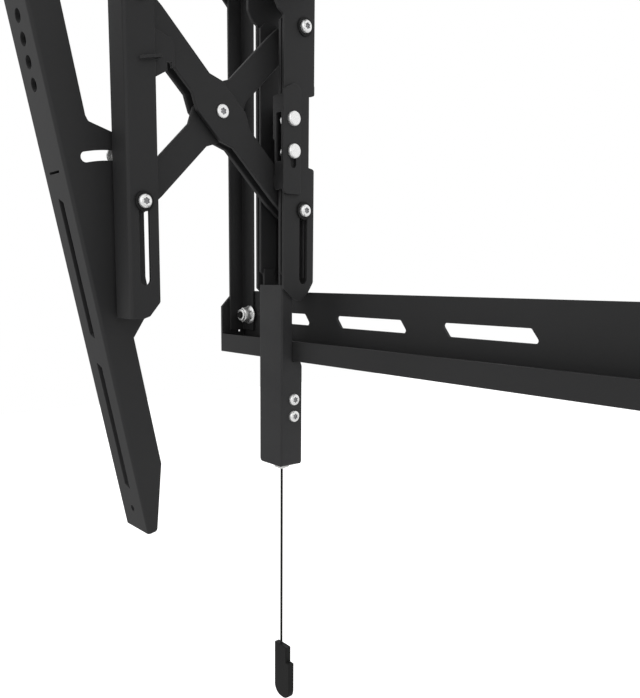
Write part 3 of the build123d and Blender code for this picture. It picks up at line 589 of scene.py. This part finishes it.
@dataclass
class Studio:
    """The camera, lamps, floor and white surroundings."""

    eye: Place = (0.2079, -0.3764, -0.0983)
    tilt_deg: float = 81.68
    turn_deg: float = 52.66
    lens: float = 38.56
    shift: tuple[float, float] = (0.0693, 0.0509)
    floor_height: float = -1.25
    floor_reach: float = 6.0
    floor_dark: Colour = (0.93, 0.93, 0.93)
    floor_light: Colour = (0.96, 0.96, 0.96)
    floor_roughness: float = 0.9
    floor_glow: float = 0.62
    sensor_width: float = 36.0
    near_clip: float = 0.01
    world_light: float = 0.75

    def build(self) -> None:
        """Set the camera, the lamps, the floor and the world."""
        self.add_camera()
        self.add_world()
        self.add_floor()
        for lamp in LAMPS:
            lamp.build()
        bpy.context.scene.view_settings.view_transform = "Standard"

    def add_camera(self) -> None:
        """Place the camera at the photograph's viewing angle."""
        data = bpy.data.cameras.new("camera")
        data.sensor_width = self.sensor_width
        data.lens = self.lens
        data.shift_x, data.shift_y = self.shift
        data.clip_start = self.near_clip
        camera = bpy.data.objects.new("camera", data)
        camera.location = self.eye
        camera.rotation_euler = (math.radians(self.tilt_deg), 0.0, math.radians(self.turn_deg))
        bpy.context.scene.collection.objects.link(camera)
        bpy.context.scene.camera = camera

    def add_world(self) -> None:
        """A white surrounding for the camera and a softer one that lights the bracket."""
        world = bpy.data.worlds.new("studio")
        bpy.context.scene.world = world
        world.use_nodes = True
        tree = world.node_tree
        tree.nodes.clear()
        output = tree.nodes.new("ShaderNodeOutputWorld")
        light = tree.nodes.new("ShaderNodeBackground")
        light.inputs["Color"].default_value = WHITE
        light.inputs["Strength"].default_value = self.world_light
        white = tree.nodes.new("ShaderNodeBackground")
        white.inputs["Color"].default_value = WHITE
        white.inputs["Strength"].default_value = 1.0
        rays = tree.nodes.new("ShaderNodeLightPath")
        seen = tree.nodes.new("ShaderNodeMath")
        seen.operation = "MAXIMUM"
        tree.links.new(rays.outputs["Is Camera Ray"], seen.inputs[0])
        tree.links.new(rays.outputs["Is Glossy Ray"], seen.inputs[1])
        mix = tree.nodes.new("ShaderNodeMixShader")
        tree.links.new(seen.outputs[0], mix.inputs["Fac"])
        tree.links.new(light.outputs["Background"], mix.inputs[1])
        tree.links.new(white.outputs["Background"], mix.inputs[2])
        tree.links.new(mix.outputs["Shader"], output.inputs["Surface"])

    def add_floor(self) -> None:
        """A pale floor well below the bracket, which keeps its shadow."""
        bpy.ops.object.select_all(action="DESELECT")
        bpy.ops.mesh.primitive_plane_add(
            size=2 * self.floor_reach, location=(0.0, 0.0, self.floor_height)
        )
        floor = bpy.context.object
        floor.name = "floor"
        graph = NodeGraph("pale floor")
        grain = graph.noise(scale=4.0, detail=2.0)
        colour = graph.blend_colours(grain, self.floor_dark, self.floor_light)
        graph.join(colour, graph.shader.inputs["Base Color"])
        graph.fix("Roughness", self.floor_roughness)
        glow = graph.tree.nodes.new("ShaderNodeEmission")
        glow.inputs["Color"].default_value = WHITE
        glow.inputs["Strength"].default_value = self.floor_glow
        rays = graph.tree.nodes.new("ShaderNodeLightPath")
        share = graph.tree.nodes.new("ShaderNodeMixShader")
        total = graph.tree.nodes.new("ShaderNodeAddShader")
        dark = graph.tree.nodes.new("ShaderNodeEmission")
        dark.inputs["Strength"].default_value = 0.0
        graph.join(rays.outputs["Is Camera Ray"], share.inputs["Fac"])
        graph.join(dark.outputs["Emission"], share.inputs[1])
        graph.join(glow.outputs["Emission"], share.inputs[2])
        graph.join(graph.shader.outputs["BSDF"], total.inputs[0])
        graph.join(share.outputs["Shader"], total.inputs[1])
        graph.join(total.outputs["Shader"], graph.output.inputs["Surface"])
        floor.data.materials.append(graph.material)


@dataclass
class PullCord:
    """One free pull cord: a straight taut run from the cover's grommet to its tab."""

    side: Side
    diameter: float = 1.9 * MM
    arm_place: float = 243.0 * MM
    cord_offset: float = 2.0 * MM
    cord_y: float = -24.0 * MM
    top: float = -204.5 * MM
    leaves: float = -228.5 * MM
    middles: Place = (-245.0 * MM, -300.0 * MM, -355.0 * MM)
    end: float = -401.8 * MM
    bolt_overlap: float = 1.0 * MM

    @property
    def x(self) -> float:
        """The cord's place along X."""
        return self.side.value * (self.arm_place - self.cord_offset)

    def build(self, finishes: Finishes) -> bpy.types.Object:
        """Args:
            finishes: The bracket's finishes.

        Returns:
            The cord's curve object.
        """
        curve = bpy.data.curves.new(self.side.node("cord"), "CURVE")
        curve.dimensions = "3D"
        curve.bevel_depth = self.diameter / 2
        curve.bevel_resolution = 4
        curve.use_fill_caps = True
        start = self.top + self.bolt_overlap
        heights = (start, *self.middles, self.end)
        spline = curve.splines.new("NURBS")
        spline.points.add(len(heights) - 1)
        for point, height in zip(spline.points, heights):
            point.co = (self.x, self.cord_y, height, 1.0)
        spline.order_u = 3
        spline.use_endpoint_u = True
        curve.materials.append(finishes.cord)
        cord = bpy.data.objects.new(self.side.node("cord"), curve)
        bpy.context.scene.collection.objects.link(cord)
        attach(cord, self.side.node("latch"))
        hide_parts(self.side.node("pull_cord"))
        frame["nodes"][self.side.node("pull_tab")]
        log.info("cord of the %s arm drawn", self.side.word)
        return cord


class Bench:
    """The edit-mode strokes that shape the small turned parts."""

    @staticmethod
    def clear() -> None:
        """Leave edit mode and select nothing."""
        if bpy.context.object is not None and bpy.context.object.mode != "OBJECT":
            bpy.ops.object.mode_set(mode="OBJECT")
        bpy.ops.object.select_all(action="DESELECT")

    @staticmethod
    def disc(
        name: str, radius: float, low: float, high: float, corners: int = 48
    ) -> bpy.types.Object:
        """Add a round or many-sided slug about the Z axis.

        Args:
            name: The piece's name.
            radius: Its radius to the corners.
            low: The height of its lower face.
            high: The height of its upper face.
            corners: How many corners it has.

        Returns:
            The slug, in edit mode with nothing selected.
        """
        Bench.clear()
        bpy.ops.mesh.primitive_cylinder_add(
            vertices=corners,
            radius=radius,
            depth=high - low,
            location=(0.0, 0.0, (low + high) / 2),
        )
        piece = bpy.context.object
        piece.name = name
        bpy.ops.object.transform_apply(location=True, rotation=True, scale=True)
        bpy.ops.object.mode_set(mode="EDIT")
        bpy.ops.mesh.select_all(action="DESELECT")
        return piece

    @staticmethod
    def pick_end(piece: bpy.types.Object, top: bool) -> None:
        """Select the flat face at one end of a slug.

        Args:
            piece: The slug, in edit mode.
            top: Whether it is the upper end.
        """
        bpy.ops.mesh.select_mode(type="FACE")
        bpy.ops.mesh.select_all(action="DESELECT")
        mesh = bmesh.from_edit_mesh(piece.data)
        mesh.faces.ensure_lookup_table()
        up = 1.0 if top else -1.0
        flat = [face for face in mesh.faces if face.normal.z * up > 0.99]
        extreme = max(flat, key=lambda face: face.calc_center_median().z * up)
        extreme.select_set(True)
        mesh.faces.active = extreme
        bmesh.update_edit_mesh(piece.data)

    @staticmethod
    def pull(length: float, scale: float = 1.0) -> None:
        """Extrude the picked face along Z and scale its new edge.

        Args:
            length: How far it moves, positive upwards.
            scale: The factor on its radius.
        """
        bpy.ops.mesh.extrude_region_move(TRANSFORM_OT_translate={"value": (0.0, 0.0, length)})
        if scale != 1.0:
            bpy.ops.transform.resize(value=(scale, scale, 1.0))

    @staticmethod
    def round_rim(piece: bpy.types.Object, top: bool, radius: float, segments: int = 4) -> None:
        """Bevel the rim around one end.

        Args:
            piece: The slug, in edit mode.
            top: Whether it is the upper end.
            radius: The bevel's width.
            segments: The number of its steps.
        """
        Bench.pick_end(piece, top)
        bpy.ops.mesh.region_to_loop()
        bpy.ops.mesh.bevel(offset=radius, segments=segments, profile=0.5, affect="EDGES")

    @staticmethod
    def finish(
        piece: bpy.types.Object, material: bpy.types.Material, angle_deg: float = 40.0
    ) -> None:
        """Close a piece's shaping: outward faces, smooth shading and its finish.

        Args:
            piece: The piece, in edit mode.
            material: Its finish.
            angle_deg: The angle above which an edge stays sharp.
        """
        bpy.ops.mesh.select_all(action="SELECT")
        bpy.ops.mesh.normals_make_consistent(inside=False)
        Bench.clear()
        piece.select_set(True)
        bpy.context.view_layer.objects.active = piece
        bpy.ops.object.shade_smooth_by_angle(angle=math.radians(angle_deg))
        piece.data.materials.clear()
        piece.data.materials.append(material)

    @staticmethod
    def weld(pieces: list[bpy.types.Object], name: str) -> bpy.types.Object:
        """Join finished pieces into one object.

        Args:
            pieces: The pieces; the first keeps its place.
            name: The joined object's name.

        Returns:
            The joined object.
        """
        Bench.clear()
        for piece in pieces:
            piece.select_set(True)
        bpy.context.view_layer.objects.active = pieces[0]
        bpy.ops.object.join()
        pieces[0].name = name
        return pieces[0]

    @staticmethod
    def copy_to(
        master: bpy.types.Object, name: str, place: Place, turn: Place
    ) -> bpy.types.Object:
        """Copy a master with its own mesh, turn it and set it in place.

        Args:
            master: The object to copy, about the Z axis at the origin.
            name: The copy's name.
            place: Where its origin goes.
            turn: Its turn about X, Y and Z in degrees.

        Returns:
            The copy, with its place and turn in its mesh.
        """
        Bench.clear()
        master.select_set(True)
        bpy.context.view_layer.objects.active = master
        bpy.ops.object.duplicate(linked=False)
        copy = bpy.context.object
        copy.name = name
        copy.rotation_euler = tuple(math.radians(angle) for angle in turn)
        copy.location = place
        bpy.ops.object.transform_apply(location=True, rotation=True, scale=True)
        return copy

    @staticmethod
    def fit(piece: bpy.types.Object, body: str, slot: str, node: str) -> None:
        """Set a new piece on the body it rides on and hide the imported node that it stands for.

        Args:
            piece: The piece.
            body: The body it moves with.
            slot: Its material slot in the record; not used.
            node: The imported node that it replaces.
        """
        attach(piece, body)
        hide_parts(node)
        log.info("%s set on the %s", piece.name, body)

    @staticmethod
    def remove(master: bpy.types.Object) -> None:
        """Delete a master once its copies are made.

        Args:
            master: The object to delete.
        """
        Bench.clear()
        master.select_set(True)
        bpy.ops.object.delete()


@dataclass
class SocketPin:
    """A pin or screw with a low domed head, a six-lobed socket and, on a pin, a riveted tail."""

    node: str
    body: str
    head_diameter: float
    head_height: float
    shank_diameter: float
    tail_diameter: float = 0.0
    tail_height: float = 0.0
    tail_rim_share: float = 0.55
    tail_taper: float = 0.72
    dome_share: float = 0.62
    dome_steps: int = 6
    socket_share: float = 0.26
    socket_depth: float = 1.0 * MM
    socket_lip: float = 0.12 * MM
    socket_point: float = 0.25 * MM
    socket_margin: float = 1.02
    least_ledge: float = 0.05 * MM
    crown_skin: float = 0.02 * MM
    end_step: float = 0.001 * MM
    pair_share: float = 1.5
    lobes: int = 6
    lobe_share: float = 0.70
    lobe_sharpness: float = 0.7

    def make_master(self, length: float, finishes: Finishes) -> bpy.types.Object:
        """Shape one pin about the Z axis, its head's seat at the origin and its shank below.

        Args:
            length: Its whole length from the head's crown to the tail's end.
            finishes: The bracket's finishes.

        Returns:
            The pin.
        """
        radius = self.head_diameter / 2
        pin = Bench.disc(self.node, radius, 0.0, self.head_height)
        dome = self.head_height * self.dome_share
        Bench.round_rim(pin, True, dome, self.dome_steps)
        Bench.pick_end(pin, top=True)
        flat = radius - dome
        socket = self.head_diameter * self.socket_share
        bpy.ops.mesh.inset(thickness=max(flat - socket, self.least_ledge))
        self.lobe_socket(pin, socket)
        Bench.pull(-self.socket_lip, scale=0.96)
        Bench.pull(-self.socket_depth, scale=0.92)
        Bench.pull(-self.socket_point, scale=0.25)
        Bench.pick_end(pin, top=False)
        bpy.ops.mesh.inset(thickness=radius - self.shank_diameter / 2)
        shank = length - self.head_height - self.tail_height
        Bench.pull(-shank)
        if self.tail_height > 0.0:
            Bench.pull(0.0, self.tail_diameter / self.shank_diameter)
            Bench.pull(-self.tail_height * self.tail_rim_share)
            Bench.pull(-self.tail_height * (1.0 - self.tail_rim_share), self.tail_taper)
        else:
            Bench.pull(-self.end_step, scale=0.86)
        Bench.finish(pin, finishes.zinc)
        self.shade_socket(pin, socket * self.socket_margin, finishes)
        return pin

    def shade_socket(self, pin: bpy.types.Object, radius: float, finishes: Finishes) -> None:
        """Give the faces inside the socket their duller finish with painted shade.

        Args:
            pin: The finished pin, about the Z axis.
            radius: The socket's outer radius.
            finishes: The bracket's finishes.
        """
        pin.data.materials.append(finishes.socket)
        bpy.ops.object.mode_set(mode="EDIT")
        bpy.ops.mesh.select_mode(type="FACE")
        bpy.ops.mesh.select_all(action="DESELECT")
        mesh = bmesh.from_edit_mesh(pin.data)
        floor = self.head_height - self.socket_depth - 2 * self.socket_point
        for face in mesh.faces:
            middle = face.calc_center_median()
            inside = max(vertex.co.xy.length for vertex in face.verts) < radius
            face.select_set(inside and floor < middle.z < self.head_height - self.crown_skin)
        bmesh.update_edit_mesh(pin.data)
        pin.active_material_index = 1
        bpy.ops.object.material_slot_assign()
        Bench.clear()

    def lobe_socket(self, pin: bpy.types.Object, radius: float) -> None:
        """Scale the picked face's rim into six lobes.

        Args:
            pin: The pin, in edit mode with the socket's face picked.
            radius: The socket's outer radius.
        """
        mesh = bmesh.from_edit_mesh(pin.data)
        face = next(face for face in mesh.faces if face.select)
        floor = face.index
        rim = [vertex.index for vertex in face.verts]
        start = face.verts[0].co.xy.length
        per_lobe = len(rim) // self.lobes
        for step in range(per_lobe // 2 + 1):
            self.pick_lobe_step(pin, rim, step)
            wave = 0.5 + 0.5 * math.cos(2 * math.pi * step / per_lobe)
            share = self.lobe_share + (1.0 - self.lobe_share) * wave**self.lobe_sharpness
            factor = radius * share / start
            bpy.ops.transform.resize(value=(factor, factor, 1.0))
        bpy.ops.mesh.select_mode(type="FACE")
        bpy.ops.mesh.select_all(action="DESELECT")
        mesh = bmesh.from_edit_mesh(pin.data)
        mesh.faces.ensure_lookup_table()
        mesh.faces[floor].select_set(True)
        mesh.faces.active = mesh.faces[floor]
        bmesh.update_edit_mesh(pin.data)

    def pick_lobe_step(self, pin: bpy.types.Object, rim: list[int], step: int) -> None:
        """Select the rim's vertices that lie the same number of steps from a lobe's tip.

        Args:
            pin: The pin, in edit mode.
            rim: The vertices around the socket, by number.
            step: The steps from the nearest tip.
        """
        bpy.ops.mesh.select_mode(type="VERT")
        bpy.ops.mesh.select_all(action="DESELECT")
        mesh = bmesh.from_edit_mesh(pin.data)
        mesh.verts.ensure_lookup_table()
        per_lobe = len(rim) // self.lobes
        for index in rim:
            place = mesh.verts[index].co
            turn = round(math.atan2(place.y, place.x) / (2 * math.pi) * len(rim)) % per_lobe
            if min(turn, per_lobe - turn) == step:
                mesh.verts[index].select_set(True)
        bmesh.update_edit_mesh(pin.data)

    def build(self, finishes: Finishes) -> None:
        """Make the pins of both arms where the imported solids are.

        Args:
            finishes: The bracket's finishes.
        """
        low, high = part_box(Side.LEFT.node(self.node))
        master = self.make_master(high[0] - low[0], finishes)
        for side in Side:
            low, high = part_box(side.node(self.node))
            crown = high[0] if side is Side.LEFT else low[0]
            out = 1.0 if side is Side.LEFT else -1.0
            seat = crown - out * self.head_height
            for number, height in enumerate(self.heights(low[2], high[2]), 1):
                place = (seat, (low[1] + high[1]) / 2, height)
                name = f"{side.node(self.node)}_{number}"
                pin = Bench.copy_to(master, name, place, (0.0, 90.0 * out, 0.0))
                Bench.fit(pin, side.node(self.body), "zinc", side.node(self.node))
        Bench.remove(master)

    def heights(self, low: float, high: float) -> list[float]:
        """The heights of the pins that one node holds.

        Args:
            low: The node's lowest point.
            high: The node's highest point.

        Returns:
            One height, or two when the node is taller than one head.
        """
        half = self.head_diameter / 2
        if high - low > self.pair_share * self.head_diameter:
            return [high - half, low + half]
        return [(low + high) / 2]


@dataclass
class CornerFixing:
    """The flange nuts and threaded studs that hold the posts on the rails."""

    flange_diameter: float = 15.4 * MM
    flange_height: float = 1.4 * MM
    flats: float = 11.0 * MM
    hexagon_foot: float = 0.4 * MM
    hexagon_height: float = 7.4 * MM
    height: float = 9.4 * MM
    edge_share: float = 0.45
    cone_share: float = 0.75
    foot_gain: float = 1.08
    edge_break: float = 0.35 * MM
    collar_step: float = 0.6 * MM
    collar_radius: float = 0.8 * MM
    collar_wall: float = 0.7 * MM
    stud_diameter: float = 6.0 * MM
    thread_pitch: float = 1.0 * MM

    def make_nut(self, finishes: Finishes) -> bpy.types.Object:
        """Shape one flange nut about the Z axis, its seat at the origin.

        Args:
            finishes: The bracket's finishes.

        Returns:
            The nut.
        """
        edge = self.flange_height * self.edge_share
        flange = Bench.disc("nut_flange", self.flange_diameter / 2, 0.0, edge)
        Bench.pick_end(flange, top=True)
        foot = self.flats / self.flange_diameter * self.foot_gain
        Bench.pull(self.flange_height * self.cone_share, foot)
        Bench.finish(flange, finishes.zinc)
        corner = self.flats / math.sqrt(3.0)
        hexagon = Bench.disc(
            "nut_hexagon", corner, self.hexagon_foot, self.hexagon_height, corners=6
        )
        bpy.ops.mesh.select_all(action="SELECT")
        bpy.ops.mesh.bevel(offset=self.edge_break, segments=2, profile=0.5, affect="EDGES")
        Bench.pick_end(hexagon, top=True)
        Bench.pull(self.edge_break, scale=0.88)
        Bench.finish(hexagon, finishes.zinc, angle_deg=30.0)
        round_part = self.flats / 2 - self.collar_step
        collar = Bench.disc("nut_collar", round_part, self.hexagon_height, self.height)
        Bench.round_rim(collar, True, self.collar_radius, segments=4)
        Bench.pick_end(collar, top=True)
        bpy.ops.mesh.inset(thickness=self.collar_wall)
        Bench.pull(-self.collar_step)
        Bench.finish(collar, finishes.zinc)
        return Bench.weld([flange, hexagon, collar], "flange_nut")

    def build(self, finishes: Finishes) -> None:
        """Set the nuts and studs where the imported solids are.

        Args:
            finishes: The bracket's finishes.
        """
        nut_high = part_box("post_nuts")[1]
        across = nut_high[0] - self.flange_diameter / 2
        up = nut_high[2] - self.flange_diameter / 2
        stud_low, stud_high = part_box("post_studs")
        nut = self.make_nut(finishes)
        thread = ThreadedStud(self.stud_diameter, self.thread_pitch)
        stud = thread.build(stud_high[1] - stud_low[1], finishes)
        forward = (90.0, 0.0, 0.0)
        corners = ((-across, up), (across, up), (-across, -up), (across, -up))
        for number, (x, z) in enumerate(corners, 1):
            place = (x, nut_high[1], z)
            set_nut = Bench.copy_to(nut, f"flange_nut_{number}", place, forward)
            Bench.fit(set_nut, "wall_plate", "zinc", "post_nuts")
            place = (x, stud_high[1], z)
            set_stud = Bench.copy_to(stud, f"threaded_stud_{number}", place, forward)
            Bench.fit(set_stud, "wall_plate", "black_ring", "post_studs")
        Bench.remove(nut)
        Bench.remove(stud)


@dataclass
class ThreadedStud:
    """A stud with a rolled thread and a chamfered tip."""

    diameter: float
    pitch: float
    groove: float = 0.35 * MM
    flank_share: float = 0.3
    root_share: float = 0.1
    tip_scale: float = 0.78
    dimple_rim: float = 0.9 * MM
    dimple_depth: float = 0.5 * MM

    def build(self, length: float, finishes: Finishes) -> bpy.types.Object:
        """Shape the stud about the Z axis, its root at the origin.

        Args:
            length: Its length.
            finishes: The bracket's finishes.

        Returns:
            The stud.
        """
        radius = self.diameter / 2
        flank = self.pitch * self.flank_share
        stud = Bench.disc("threaded_stud", radius, 0.0, flank, corners=32)
        turns = int(length / self.pitch) - 1
        Bench.pick_end(stud, top=True)
        for _ in range(turns):
            Bench.pull(flank, (radius - self.groove) / radius)
            Bench.pull(self.pitch * self.root_share)
            Bench.pull(flank, radius / (radius - self.groove))
            Bench.pull(flank)
        rest = length - self.pitch * (turns + self.flank_share)
        Bench.pull(rest, self.tip_scale)
        bpy.ops.mesh.inset(thickness=self.dimple_rim)
        Bench.pull(-self.dimple_depth, scale=0.7)
        Bench.finish(stud, finishes.ring, angle_deg=25.0)
        return stud


@dataclass
class LatchSpring:
    """The coil spring inside a latch cover, which on the real latch shortens when the cord is
    pulled; here it is wound at one length and rides with the wall bracket.
    """

    wire: float = 1.0 * MM
    turns: int = 7
    turn_steps: int = 28
    travel: float = 9.0 * MM

    def build(self, finishes: Finishes) -> None:
        """Wind one spring and set it in both covers.

        Args:
            finishes: The bracket's finishes.
        """
        low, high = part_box(Side.LEFT.node("latch_spring"))
        length = high[2] - low[2]
        radius = (high[0] - low[0]) / 2 - self.wire / 2
        Bench.clear()
        bpy.ops.mesh.primitive_circle_add(
            vertices=12,
            radius=self.wire / 2,
            location=(radius, 0.0, self.wire / 2),
            rotation=(math.pi / 2, 0.0, 0.0),
        )
        coil = bpy.context.object
        coil.name = "latch_coil"
        bpy.ops.object.transform_apply(location=True, rotation=True, scale=True)
        wind = coil.modifiers.new("wind", "SCREW")
        wind.axis = "Z"
        wind.screw_offset = (length - self.wire) / self.turns
        wind.iterations = self.turns
        wind.steps = self.turn_steps
        wind.render_steps = self.turn_steps
        bpy.ops.object.modifier_apply(modifier=wind.name)
        bpy.ops.object.mode_set(mode="EDIT")
        bpy.ops.mesh.select_all(action="DESELECT")
        bpy.ops.mesh.select_mode(type="EDGE")
        bpy.ops.mesh.select_non_manifold(extend=False)
        bpy.ops.mesh.fill_holes(sides=24)
        Bench.finish(coil, finishes.wire, angle_deg=60.0)
        for side in Side:
            low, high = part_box(side.node("latch_spring"))
            place = ((low[0] + high[0]) / 2, (low[1] + high[1]) / 2, low[2])
            spring = Bench.copy_to(coil, side.node("latch_coil"), place, (0.0, 0.0, 0.0))
            body = side.node("wall_bracket")
            Bench.fit(spring, body, "spring_steel", side.node("latch_spring"))
            pull = side.node("latch_pull")
            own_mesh(spring)
        Bench.remove(coil)


@dataclass
class CordGrommet:
    """The pale bush in a cover's floor, with a low domed rim around the cord."""

    rim_diameter: float = 11.4 * MM
    rim_drop: float = 2.6 * MM
    dome_drop: float = 4.2 * MM
    mouth_diameter: float = 5.6 * MM
    bush_diameter: float = 7.0 * MM
    bush_height: float = 2.6 * MM
    bore: float = 2.6 * MM
    rim_break: float = 0.25 * MM
    bore_share: float = 0.8
    cover_bottom: float = -243.5 * MM

    def build(self, finishes: Finishes) -> None:
        """Shape one grommet and set it under both covers.

        Args:
            finishes: The bracket's finishes.
        """
        rim = Bench.disc("grommet", self.rim_diameter / 2, -self.rim_drop, 0.0)
        Bench.round_rim(rim, True, self.rim_break, segments=2)
        Bench.pick_end(rim, top=False)
        step = (self.dome_drop - self.rim_drop) / 3
        scale = (self.mouth_diameter / self.rim_diameter) ** (1 / 3)
        for share in (0.75, 1.0, 1.25):
            Bench.pull(-step * share, scale)
        bpy.ops.mesh.inset(thickness=(self.mouth_diameter - self.bore) / 2)
        Bench.pull(self.dome_drop * self.bore_share)
        Bench.pick_end(rim, top=True)
        bpy.ops.mesh.inset(thickness=(self.rim_diameter - self.bush_diameter) / 2)
        Bench.pull(self.bush_height)
        Bench.finish(rim, finishes.pale)
        for side in Side:
            low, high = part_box(side.node("cord_grommet"))
            place = ((low[0] + high[0]) / 2, (low[1] + high[1]) / 2, self.cover_bottom)
            grommet = Bench.copy_to(rim, side.node("grommet"), place, (0.0, 0.0, 0.0))
            body = side.node("wall_bracket")
            Bench.fit(grommet, body, "pale_plastic", side.node("cord_grommet"))
        Bench.remove(rim)


def fastenings() -> list[SocketPin]:
    """The pins, rivets and screws of an arm.

    Returns:
        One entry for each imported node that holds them.
    """
    pin_head = {"head_diameter": 9.0 * MM, "head_height": 2.6 * MM}
    return [
        SocketPin(
            "wall_pivot_bolt",
            "wall_bracket",
            shank_diameter=6.0 * MM,
            tail_diameter=9.0 * MM,
            tail_height=2.4 * MM,
            **pin_head,
        ),
        SocketPin("wall_slide_pin", "outer_arm", shank_diameter=7.4 * MM, **pin_head),
        SocketPin(
            "front_slide_pin",
            "inner_arm",
            shank_diameter=7.4 * MM,
            tail_diameter=9.0 * MM,
            tail_height=1.8 * MM,
            **pin_head,
        ),
        SocketPin(
            "front_pivot_bolt",
            "front",
            shank_diameter=6.0 * MM,
            tail_diameter=9.0 * MM,
            tail_height=1.8 * MM,
            **pin_head,
        ),
        SocketPin(
            "centre_rivet",
            "inner_arm",
            head_diameter=9.4 * MM,
            head_height=1.3 * MM,
            shank_diameter=8.0 * MM,
            tail_diameter=9.4 * MM,
            tail_height=1.3 * MM,
            socket_depth=0.8 * MM,
        ),
        SocketPin(
            "cover_screws",
            "wall_bracket",
            head_diameter=8.8 * MM,
            head_height=2.4 * MM,
            shank_diameter=4.0 * MM,
        ),
    ]


def main() -> None:
    """Build the studio, the cords, the fastenings and the finishes."""
    logging.basicConfig(level=logging.INFO, format="%(name)s: %(message)s")
    Studio().build()
    finishes = Finishes()
    for side in Side:
        PullCord(side).build(finishes)
    for fastening in fastenings():
        fastening.build(finishes)
    CornerFixing().build(finishes)
    LatchSpring().build(finishes)
    CordGrommet().build(finishes)
    finishes.dress_nodes()


if __name__ == "__main__":
    main()
